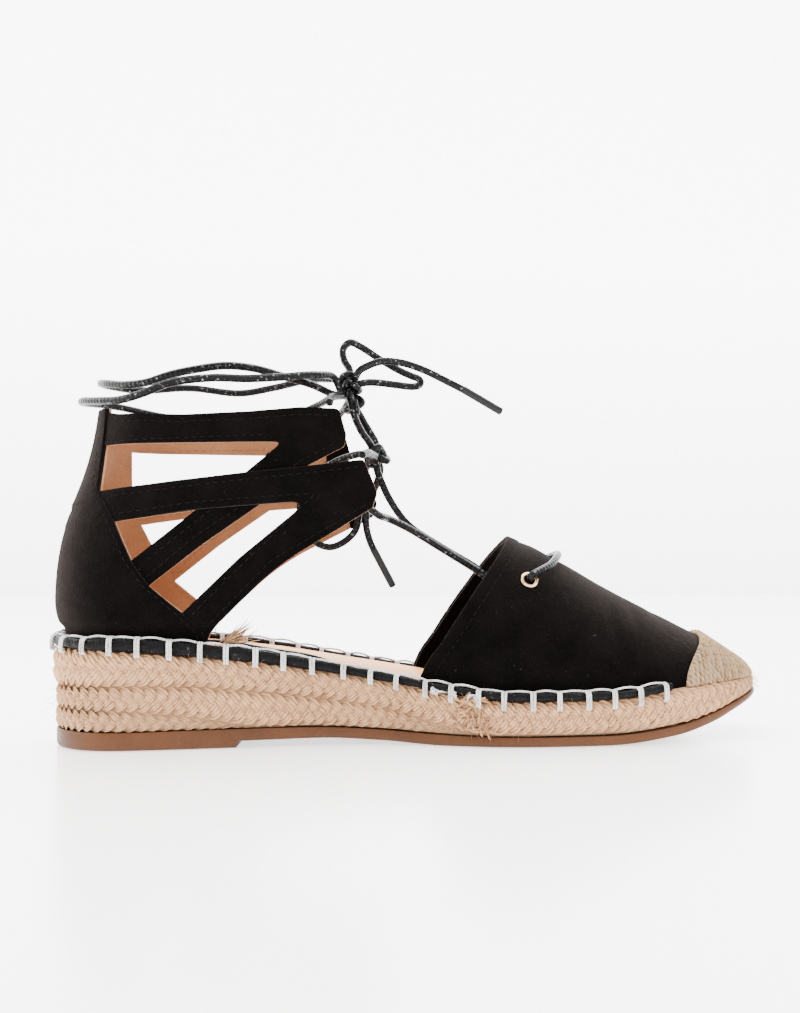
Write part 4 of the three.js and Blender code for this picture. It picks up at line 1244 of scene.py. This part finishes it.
def rounded(corners, spacing=0.0022, ring=True):
    """Corners joined by straight runs and rounded turns, as a list of x and z."""
    out = []
    count = len(corners)
    for k, (x, z, radius) in enumerate(corners):
        here = np.array((x, z))
        if not ring and k in (0, count - 1):
            out.append(here)
            continue
        back = np.array(corners[k - 1][:2]) - here
        ahead = np.array(corners[(k + 1) % count][:2]) - here
        turn = math.acos(np.clip(unit(back) @ unit(ahead), -1, 1))
        reach = min(radius / math.tan(turn / 2), *(np.linalg.norm(v) * 0.42 for v in (back, ahead)))
        start, stop = here + unit(back) * reach, here + unit(ahead) * reach
        for t in np.linspace(0, 1, 2 + int(reach / 0.0006)):
            out.append(start * (1 - t) ** 2 + 2 * here * t * (1 - t) + stop * t**2)
    line = np.array(out)
    full = [line[0]]
    for a, b in zip(line, np.vstack([line[1:], line[:1]]) if ring else line[1:]):
        parts = max(1, int(np.linalg.norm(b - a) / spacing))
        full += [a + (b - a) * k / parts for k in range(1, parts + 1)]
    full = np.array(full[:-1] if ring else full)
    keep = np.ones(len(full), bool)
    for k in range(1, len(full)):
        keep[k] = np.linalg.norm(full[k] - full[k - 1]) > 0.0002
    return full[keep]


def to_flat(outline, side):
    step = step_at(outline[:, 0], outline[:, 1], side)
    return np.stack([np.interp(step, flat_steps, flat_p), outline[:, 1]], axis=1)


# %% Creases
# x, z, half length, slope, depth: soft folds where the counter bends over the heel and the
# straps flex. Each is a narrow groove with a low swell beside it.
CREASES = [
    (0.0105, 0.0785, 0.006, 0.12, 0.00075), (0.0165, 0.0768, 0.0065, -0.18, 0.0006),
    (0.007, 0.0715, 0.005, 0.2, 0.0005), (0.018, 0.0712, 0.004, -0.3, 0.00045),
    (0.012, 0.064, 0.006, -0.1, 0.0004), (0.024, 0.057, 0.006, 0.5, 0.00035),
    (0.03, 0.044, 0.008, -0.12, 0.0004), (0.014, 0.048, 0.007, 0.1, 0.0004),
    (0.06, 0.0845, 0.005, 0.9, 0.0003), (0.0955, 0.089, 0.006, -0.8, 0.0004),
    (0.09, 0.104, 0.006, -0.9, 0.0003), (0.071, 0.0665, 0.006, 0.75, 0.0003),
]


def crease_depth(x, z, side):
    depth = np.zeros(len(x))
    for cx, cz, half, slope, deep in CREASES:
        dx, dz = x - cx, z - cz - (0.0006 if side > 0 else 0)
        run = dx * math.cos(math.atan(slope)) + dz * math.sin(math.atan(slope))
        off = -dx * math.sin(math.atan(slope)) + dz * math.cos(math.atan(slope))
        off = off + 0.0004 * np.sin(run / half * 2.4)
        along_fold = np.exp(-((run / half) ** 2) * 1.6)
        groove = np.exp(-((off / 0.0007) ** 2))
        swell = 0.55 * np.exp(-(((off - 0.0014) / 0.001) ** 2))
        depth += deep * along_fold * (groove - swell)
    return -depth


def seat(points, step, side_lift):
    """Points of the quarter raised along its normal."""
    return quarter_point(points, step) + quarter_normal(points, step) * side_lift[:, None]


# %% Cutting and laying a panel
PANEL = 0.0009


def panel(name, flat, lift_at, inner, finish, replaces=(), cell=0.0017, edge_round=0.00034):
    """A flat pattern given its thickness and rim, sliced into cells and laid on the last."""
    bm = bmesh.new()
    verts = [bm.verts.new((p, z, 0)) for p, z in flat]
    face = bm.faces.new(verts)
    grown = bmesh.ops.extrude_face_region(bm, geom=[face], use_keep_orig=True)["geom"]
    raised = [v for v in grown if isinstance(v, bmesh.types.BMVert)]
    bmesh.ops.translate(bm, vec=(0, 0, PANEL), verts=raised)
    rim = [e for e in bm.edges if all(v.co.z > PANEL / 2 for v in e.verts)]
    bmesh.ops.bevel(
        bm, geom=rim, offset=edge_round, segments=3, profile=0.5, affect="EDGES",
        clamp_overlap=True, material=-1,
    )
    low, high = flat.min(axis=0), flat.max(axis=0)
    for axis in (0, 1):
        normal = (1, 0, 0) if axis == 0 else (0, 1, 0)
        for at in np.arange(low[axis] + cell / 2, high[axis], cell):
            where = (at, 0, 0) if axis == 0 else (0, at, 0)
            geom = bm.verts[:] + bm.edges[:] + bm.faces[:]
            bmesh.ops.bisect_plane(bm, geom=geom, dist=1e-6, plane_co=where, plane_no=normal)
    co = np.array([v.co for v in bm.verts])
    step = np.interp(co[:, 0], flat_p, flat_steps)
    z = co[:, 1]
    share = np.clip(co[:, 2] / PANEL, 0, 1)
    x = quarter_point(z, step)[:, 0] + LENGTH / 2
    outer = lift_at(x, z, step)
    lay(bm, seat(z, step, inner + (outer - inner) * share))
    return piece(bm, name, finish, replaces, sharp=55)


def upper_lift(x, z, step):
    return -0.00045 + crease_depth(x, z, np.sign(step).mean()) * 0.8


def lower_lift(x, z, step):
    """The lower fork rises over the upper one where they cross, and dips under the counter."""
    over = smooth_step(0.03, 0.045, x) * (1 - smooth_step(0.078, 0.092, x))
    over = over * smooth_step(0.066, 0.076, z)
    clear = smooth_step(0.03, 0.05, x)
    return -0.0004 + 0.0009 * over + 0.0003 * clear + crease_depth(x, z, np.sign(step).mean()) * 0.8


def counter_lift(x, z, step):
    """Creases, and the closed seam up the middle of the back."""
    seam = -0.0003 * np.exp(-((step / 0.2) ** 2))
    return 0.00035 + seam + crease_depth(x, z, np.sign(step).mean())


def lining_lift(x, z, step):
    return np.full(len(x), -0.00105)


def counter_pattern():
    inner_edge = rounded(shifted(COUNTER_FRONT, -1), ring=False)
    outer_edge = rounded(shifted(COUNTER_FRONT, 1), ring=False)
    inner_flat, outer_flat = to_flat(inner_edge, -1), to_flat(outer_edge, 1)
    collar_p = np.linspace(inner_flat[0, 0], outer_flat[0, 0], 40)[1:-1]
    steps = np.interp(collar_p, flat_p, flat_steps)
    collar_z = 0.1131 - 0.0028 * smooth_step(3.5, 9, abs(steps))
    foot_p = np.linspace(outer_flat[-1, 0], inner_flat[-1, 0], 60)[1:-1]
    foot_steps = np.interp(foot_p, flat_p, flat_steps)
    foot_x = quarter_point(np.full(58, 0.033), foot_steps)[:, 0] + LENGTH / 2
    foot_z = jute_top(foot_x) + 0.0006
    collar = np.stack([collar_p, collar_z], axis=1)
    foot = np.stack([foot_p, foot_z], axis=1)
    return np.vstack([inner_flat[::-1], collar, outer_flat, foot])


SIDES = (("inner", -1), ("outer", 1))
for word, side in SIDES:
    upper = to_flat(rounded(shifted(UPPER_FORK, side)), side)
    lower = to_flat(rounded(shifted(LOWER_FORK, side)), side)
    panel(f"strap_upper_{word}", upper, upper_lift, -0.00105, suede)
    panel(f"strap_lower_{word}", lower, lower_lift, -0.00105, suede)
    panel(f"lining_upper_{word}", upper, lining_lift, -0.0017, lining, cell=0.003)
    panel(f"lining_lower_{word}", lower, lining_lift, -WALL, lining, cell=0.003)
panel("counter_suede", counter_pattern(), counter_lift, -0.00105, suede, ["quarter"])
panel(
    "counter_lining", counter_pattern(), lining_lift, -WALL - 0.0001, lining,
    cell=0.003,
)

# %% [markdown]
# The front ends of the straps are faced inside with a strip of the same suede. The strip is a
# pattern of its own.

# %% Facings at the strap ends
FACINGS = {
    "upper": [(0.0893, 0.1127, 0.001), (0.0966, 0.1123, 0.002), (0.099, 0.1038, 0.003),
              (0.0984, 0.0998, 0.001), (0.0905, 0.0957, 0.001)],
    "lower": [(0.097, 0.0946, 0.001), (0.1048, 0.0956, 0.0015), (0.1092, 0.0846, 0.003),
              (0.1076, 0.0794, 0.002), (0.099, 0.0742, 0.001)],
}
for word, side in SIDES:
    for fork, corners in FACINGS.items():
        flat = to_flat(rounded(corners), side)
        panel(f"facing_{fork}_{word}", flat, lambda x, z, s: np.full(len(x), -WALL),
              -WALL - 0.0006, suede, cell=0.003)

# %% [markdown]
# ## Sewing
# One small stitch is a squashed sphere of two dozen faces, repeated along every seam. The rows
# stand in from the cut edges by the width of a turned edge, black on the suede and tan inside.

# %% Rows of stitches
thread_black = Finish(
    "thread_black", Base_Color=(0.0015, 0.0014, 0.0014), Roughness=0.7, Specular_IOR_Level=0.12
)
thread_black.set(Normal=thread_black.bump(thread_black.noise(4000, 2), 0.0001))
thread_tan = Finish("thread_tan", Base_Color=(0.2, 0.09, 0.04), Roughness=0.6)
thread_tan.set(Normal=thread_tan.bump(thread_tan.noise(4000, 2), 0.0001))
STITCH = 0.0018
STITCH_GAP = 0.0009


def sew(bm, line, out, radius=0.00018):
    """Stitches along a line of points; out is the outward direction at each."""
    at = lengths(line)
    for start in np.arange(STITCH_GAP, at[-1] - STITCH, STITCH + STITCH_GAP):
        middle = start + STITCH / 2
        here, a, b = (
            Vector([float(np.interp(w, at, line[:, k])) for k in range(3)])
            for w in (middle, start, start + STITCH)
        )
        up = Vector([float(np.interp(middle, at, out[:, k])) for k in range(3)]).normalized()
        run = (b - a).normalized()
        across = up.cross(run).normalized()
        turn = Matrix((run, across, up)).transposed().to_4x4()
        size = Matrix.Diagonal((STITCH / 2, radius, radius * 0.8, 1))
        matrix = Matrix.Translation(here) @ turn @ size
        bmesh.ops.create_uvsphere(bm, u_segments=6, v_segments=4, radius=1,
                                  matrix=matrix @ Matrix.Rotation(math.pi / 2, 4, "Y"))


def quarter_seam(bm, points, side, lift):
    outline = rounded([(x, z, 0.01) for x, z in points], 0.0015, ring=False)
    step = step_at(outline[:, 0], outline[:, 1], side)
    z = outline[:, 1]
    x = quarter_point(z, step)[:, 0] + LENGTH / 2
    height = lift(x, z, step) + 0.00008 if callable(lift) else np.full(len(z), lift)
    sew(bm, seat(z, step, height), quarter_normal(z, step) * (1 if callable(lift) else -1))


UPPER_SEAMS = [
    [(0.024, 0.1013), (0.074, 0.1034)],
    [(0.0745, 0.0985), (0.064, 0.0858), (0.0335, 0.0604)],
    [(0.0955, 0.101), (0.084, 0.0948), (0.069, 0.0826), (0.05, 0.0695), (0.0345, 0.0557)],
    [(0.024, 0.1082), (0.046, 0.1076), (0.067, 0.1086), (0.084, 0.1102), (0.0945, 0.11)],
]
LOWER_SEAMS = [
    [(0.025, 0.0769), (0.0506, 0.0808), (0.0702, 0.0826), (0.089, 0.0842)],
    [(0.089, 0.0842), (0.0655, 0.0606), (0.0478, 0.0424)],
    [(0.1058, 0.0806), (0.0745, 0.0618), (0.0525, 0.0385)],
    [(0.023, 0.0829), (0.042, 0.0852), (0.066, 0.0884), (0.086, 0.0908), (0.1035, 0.0932)],
]
COUNTER_SEAM = [(x - 0.002, z) for x, z, _, _ in COUNTER_FRONT[1:]]
SEAMS = ((UPPER_SEAMS, upper_lift), (LOWER_SEAMS, lower_lift), ([COUNTER_SEAM], counter_lift))
for word, side in SIDES:
    bm, inside = bmesh.new(), bmesh.new()
    move = np.array(OUTER_SHIFT) * (side > 0)
    for seams, lift in SEAMS:
        for seam in seams:
            points = [(x + move[0], z + move[1]) for x, z in seam]
            quarter_seam(bm, points, side, lift)
            quarter_seam(inside, points, side, -WALL - 0.00006)
    piece(bm, f"seams_{word}", thread_black, sharp=180)
    piece(inside, f"lining_seams_{word}", thread_tan, sharp=180)

bm = bmesh.new()
around = np.linspace(0.02, 0.98, 240)
along = along_where(ahead_of_throat, around) + FOLD / lengths(ridge_line)[-1]
normal = vamp_normal(along, around)
sew(bm, vamp_point(along, around) + normal * 0.00012, normal)
piece(bm, "seam_throat", thread_black, sharp=180)

# %% [markdown]
# ## Binding and blanket stitch
# A black tape covers the raw foot of the upper and the open edge of the insole. Heavy white
# thread is blanket-stitched over it into the jute about every 9 mm: two strands down over the
# tape at each stitch, and one strand along its upper edge to the next. The tape puffs up
# between the stitches, so its section breathes with them.

# %% Binding
RAND_WIDTH, RAND_HEIGHT, RAND_FRONT_X = 0.0034, 0.0043, 0.208
STITCH_STEP = 0.0091
binding = Finish("binding_black", Roughness=0.5, Specular_IOR_Level=0.1)
rib = (binding.value("along") * (2 * math.pi / 0.0007)).sine()
scuff = ((binding.noise(500, 3) - 0.63) * 9).clamped()
binding.set(
    Base_Color=binding.blend(scuff * 0.2, (0.0012, 0.0012, 0.0015), (0.14, 0.13, 0.13)),
    Roughness=0.3 + binding.noise(300, 2) * 0.3,
    Normal=binding.bump(rib * 0.15 + binding.noise(420, 3) * 2.4, 0.0003),
)
rand_reach = abs(edge_reach(RAND_FRONT_X))
count = int(round(2 * rand_reach / STITCH_STEP))
stitch_s = np.linspace(-rand_reach + 0.002, rand_reach - 0.002, count)
stitch_s = stitch_s + rng.uniform(-0.0007, 0.0007, count)
s = np.linspace(-rand_reach, rand_reach, 1500)
nearest = np.min(abs(s[:, None] - stitch_s[None, :]), axis=1)
pinch = 1 - 0.24 * np.exp(-((nearest / 0.0013) ** 2))


def tape_height(s):
    """The tape is pulled flatter round the back of the heel and along the front."""
    x, _, _ = edge(s)
    back, front = 1 - smooth_step(0.012, 0.03, x), smooth_step(0.056, 0.115, x)
    return RAND_HEIGHT * (1 - 0.2 * back - 0.36 * front)


def squared_off(value):
    return np.sign(value) * abs(value) ** 0.75


x, y, out = edge(s)
outward = np.column_stack([out, np.zeros(len(s))])
centre = at_edge(s, 0.0001 + RAND_WIDTH / 2, jute_top(x) + GAP + tape_height(s) / 2)
centre = centre + outward * wander(s, 0.0002)[:, None]
turn = np.linspace(0, 2 * math.pi, 17)
turn[-1] = 0
wide = (RAND_WIDTH / 2 + 0.0001) * pinch
tall = (tape_height(s) / 2 + 0.0001) * (0.4 + 0.6 * pinch) + wander(s, 0.0002)
points = (
    centre[:, None]
    + outward[:, None] * (squared_off(np.cos(turn))[None, :, None] * wide[:, None, None])
    + np.array([0, 0, 1.0]) * (squared_off(np.sin(turn))[None, :, None] * tall[:, None, None])
)
bm = bmesh.new()
skin(bm, points, along=s)
piece(bm, "binding", binding, ["rand"], sharp=180)

# %% Blanket stitch
thread = Finish("thread_white", Roughness=0.75)
thread.set(Sheen_Weight=0.3)
twist = (thread.value("along") * (2 * math.pi / 0.0011) + thread.across() * (4 * math.pi)).sine()
soil = thread.noise(240, 3)
thread.set(
    Base_Color=thread.ramp(soil, (0.3, (0.5, 0.47, 0.45)), (0.6, (0.86, 0.85, 0.84))),
    Normal=thread.bump(twist + thread.noise(2500) * 0.6, 0.00018),
)
# Inset from the outline and height above the jute of a strand on its way over the tape.
OVER_TAPE = [
    (0.0006, -0.0026), (-0.0006, -0.0019), (-0.0006, -0.0004), (-0.0006, 0.0010),
    (-0.0005, 0.0026), (-0.0001, 0.0042), (0.0011, 0.0050), (0.0024, 0.0050), (0.0034, 0.0046),
    (0.0039, 0.0032), (0.0039, 0.0012),
]


def over_tape(s, lean=0.0):
    rows = smooth_line([(inset, 0, lift) for inset, lift in OVER_TAPE], 4)
    lean = lean * np.linspace(0, 1, len(rows)) ** 2
    where = s + lean
    x, y, _ = edge(where, rows[:, 0])
    over = np.maximum(rows[:, 2], 0) * tape_height(where) / RAND_HEIGHT
    under = np.minimum(rows[:, 2], 0) * (0.4 + 0.6 * smooth_step(0.1, 0.14, x))
    return place(x, y, jute_top(x) + over + under)



STRAND = 0.00046
bm = bmesh.new()
for number, s in enumerate(stitch_s):
    for strand in (-1, 1):
        lean = float(rng.uniform(-0.0004, 0.0004))
        line = over_tape(s + strand * STRAND * 0.95, lean)
        tube(bm, line, STRAND * float(rng.uniform(0.9, 1.1)), 6, tone=float(rng.uniform()))
    if number + 1 < len(stitch_s):
        ahead = np.linspace(s, stitch_s[number + 1], 12)
        rise = np.sin(np.linspace(0, math.pi, 12))
        inset = 0.0021 - 0.0007 * rise + rng.uniform(-0.0002, 0.0002)
        x, y, _ = edge(ahead, inset)
        lift = tape_height(ahead) + 0.0004 + rise * rng.uniform(0.0004, 0.0009)
        tube(bm, place(x, y, jute_top(x) + lift), 0.00036, 6, tone=float(rng.uniform()))
piece(bm, "blanket_stitch", thread, sharp=180)

# %% [markdown]
# ## Eyelets and the fixed run of the lace
# Each eyelet is a small brass tube rolled over at its rim: its profile is spun about the axis of
# the hole and turned to stand square to the vamp. The lace comes up through one, crosses the
# vamp in a loose bar, and goes down through the other.

# %% Eyelets
EYELET_X, EYELET_Z = 0.161, 0.055
gold = Finish("eyelet_gold", Base_Color=(0.88, 0.60, 0.33), Metallic=1.0, Roughness=0.24)
tarnish = gold.noise(420, 3)
gold.set(
    Base_Color=gold.ramp(tarnish, (0.35, (0.62, 0.38, 0.18)), (0.6, (0.93, 0.68, 0.42))),
    Roughness=0.16 + tarnish * 0.22,
    Normal=gold.bump(gold.noise(1500, 2), 0.00005),
)


def eyelet_seat(side):
    along = along_at(EYELET_X)
    foot = float(jute_top(EYELET_X)) + GAP
    rise = (EYELET_Z - foot) / (np.interp(along, RIDGE_S, ridge_line[:, 2]) - foot)
    inner = math.asin(rise) / math.pi
    around = inner if side < 0 else 1 - inner
    return along, around, vamp_point(along, around), vamp_normal(along, around)


RIM_RADIUS, BORE = 0.0025, 0.00185
for word, side in SIDES:
    _, _, centre, out = eyelet_seat(side)
    bm = bmesh.new()
    profile = [(BORE, -0.0024), (BORE, 0.0003)]
    for k in range(9):
        angle = math.pi - math.pi * k / 8
        profile.append((RIM_RADIUS + 0.00065 * math.cos(angle), 0.0004 + 0.0006 * math.sin(angle)))
    profile += [(RIM_RADIUS + 0.00065, 0.0001), (BORE + 0.00035, 0.0001), (BORE + 0.00035, -0.0024)]
    ring = [bm.verts.new((r, 0, h)) for r, h in profile]
    edges = [bm.edges.new((a, b)) for a, b in zip(ring, ring[1:] + ring[:1])]
    bmesh.ops.spin(bm, geom=ring + edges, axis=(0, 0, 1), cent=(0, 0, 0), angle=2 * math.pi,
                   steps=48, use_merge=True)
    turn = Vector((0, 0, 1)).rotation_difference(Vector(out)).to_matrix().to_4x4()
    bmesh.ops.transform(bm, matrix=Matrix.Translation(Vector(centre)) @ turn, verts=bm.verts)
    piece(bm, f"eyelet_ring_{word}", gold, [f"eyelet_{word}"], sharp=60)

# %% The run of lace through the eyelets
RUN_START = [
    (0.103, -0.0224, 0.0828), (0.1094, -0.0226, 0.0774), (0.113, -0.0164, 0.0764),
    (0.1204, -0.0106, 0.0732),
    (0.132, -0.0072, 0.0664), (0.1466, -0.0064, 0.0574), (0.1546, -0.0094, 0.0514),
]
RUN_END = [
    (0.1546, 0.0094, 0.0514), (0.1468, 0.0044, 0.0588), (0.1324, 0.0026, 0.0674),
    (0.1204, 0.0018, 0.0754), (0.114, 0.001, 0.084), (0.1106, 0.0004, 0.0912),
    (0.1094, 0.0002, 0.0944), (0.109, 0.0002, 0.0975),
]
inner_seat, outer_seat = eyelet_seat(-1), eyelet_seat(1)
through = (-0.0055, -0.0022, 0.0, 0.0016, 0.003)
bar = []
for t in np.arange(1, 7) / 7:
    around = inner_seat[1] + (outer_seat[1] - inner_seat[1]) * t
    swell = math.sin(math.pi * t)
    along = inner_seat[0] + (along_at(EYELET_X + 0.013) - inner_seat[0]) * swell**0.7
    bar.append(vamp_point(along, around) + vamp_normal(along, around) * (0.0019 + 0.0003 * swell))
route = [
    *place(*np.array(RUN_START).T),
    *(inner_seat[2] + inner_seat[3] * d for d in through),
    *bar,
    *(outer_seat[2] + outer_seat[3] * d for d in through[::-1]),
    *place(*np.array(RUN_END).T),
]
bm = bmesh.new()
tube(bm, evenly(smooth_line(route), 0.0005), LACE / 2, 12, taper=0.0006)
piece(bm, "lace_through_eyelets", waxed, ["lace_run"], sharp=80)

# %% [markdown]
# ## Loose fibre
# Jute is hairy. Fine fibres stand off the plait everywhere, most of all where the plait was
# spliced under the front of the arch and where the strap foot was trimmed. Each is a thin
# tapered thread, so that it catches the light as a real one does.

# %% Fibres
def hair(bm, root, direction, length, curl, radius=0.00006):
    t = np.linspace(0, 1, 6)[:, None]
    bend = rng.normal(0, curl, 3)
    line = root + direction * (t * length) + bend * (t**2 * length)
    tube(bm, line, radius, 3, tone=float(rng.uniform()), taper=length * 0.4)


bm = bmesh.new()
for _ in range(1300):
    s = float(rng.uniform(-EDGE_HALF, EDGE_HALF))
    x, y, out = edge(np.array([s]))
    z = float(rng.uniform(bottom(x)[0] + 0.001, jute_top(x)[0]))
    root = place(x, y, z)[0] - np.array([*out[0], 0]) * 0.0008
    lean = np.array([*out[0], 0.2]) * 0.6 + rng.normal(0, 0.8, 3)
    hair(bm, root, unit(lean), float(rng.uniform(0.0012, 0.0034)), 0.4, 0.00004)
splice = edge_reach(0.1395)
for number in range(170):
    s = splice + float(rng.normal(0, 0.0036))
    x, y, out = edge(np.array([s]))
    outward = np.array([*out[0], 0])
    z = float(rng.uniform(bottom(x)[0] + 0.0012, jute_top(x)[0] + 0.0008))
    root = place(x, y, z)[0] - outward * 0.0006
    lean = outward * 0.25 + rng.normal(0, 1.0, 3) * (1.4, 0.2, 0.8)
    if number % 4:
        hair(bm, root, unit(lean), float(rng.uniform(0.0015, 0.0042)), 0.4, 0.00006)
        continue
    # A broken yarn end that lies over the splice.
    run = unit(rng.normal(0, 1.0, 3) * (1.3, 0, 0.8))
    t = np.linspace(-1, 1, 9)[:, None]
    arc = root + outward * (0.0011 - 0.0012 * t**2) + run * t * float(rng.uniform(0.0014, 0.003))
    tube(bm, arc, float(rng.uniform(0.00026, 0.00042)), 6, tone=float(rng.uniform()), taper=0.0012)
piece(bm, "jute_fibres", jute, sharp=180)

# %% Trimmings left by the maker
bm = bmesh.new()
tuft = place(0.0575, -0.0225, jute_top(0.0575) + 0.0042)
for _ in range(22):
    root = tuft + rng.normal(0, 0.0009, 3) * (1, 0.7, 0.2)
    lean = unit(np.array([0.9, 0.1, 0.5]) + rng.normal(0, 0.15, 3))
    hair(bm, root, lean, float(rng.uniform(0.008, 0.0155)), 0.1, 0.00021)
piece(bm, "foot_tuft", jute, sharp=180)

bm = bmesh.new()
t = np.linspace(0, 1, 40)
flap_x = 0.05 + 0.043 * t
flap_y = centre_y(flap_x) - half_width(flap_x) + 0.0056 + 0.0008 * np.sin(t * 5)
flap = place(flap_x, flap_y, jute_top(flap_x) + 0.0054 - 0.0016 * t + 0.0003 * np.sin(t * 9))
tube(bm, flap, 0.0018, 10, flat=0.62, up=(0, 0, 1), taper=0.024)
piece(bm, "binding_flap", binding, sharp=180)

bm = bmesh.new()
for _ in range(9):
    start = edge_reach(0.1345) + float(rng.uniform(-0.008, 0.008))
    run = np.linspace(0, 1, 24)
    s = start + run * float(rng.uniform(-0.007, 0.007)) + 0.0009 * np.sin(run * rng.uniform(4, 9))
    inset = -0.0009 + 0.003 * run ** float(rng.uniform(0.6, 1.8))
    x, y, _ = edge(s, inset)
    rise = (-0.0012 + 0.0058 * run ** float(rng.uniform(0.5, 1.2))) * tape_height(s) / RAND_HEIGHT
    rise = rise + 0.0005 * np.sin(run * 7)
    tube(bm, place(x, y, jute_top(x) + rise), 0.00034, 6, tone=float(rng.uniform()), taper=0.0008)
piece(bm, "loose_thread", thread, sharp=180)

# %% The size of what was made
low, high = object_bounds()
print("box", [round(x, 4) for x in high - low])
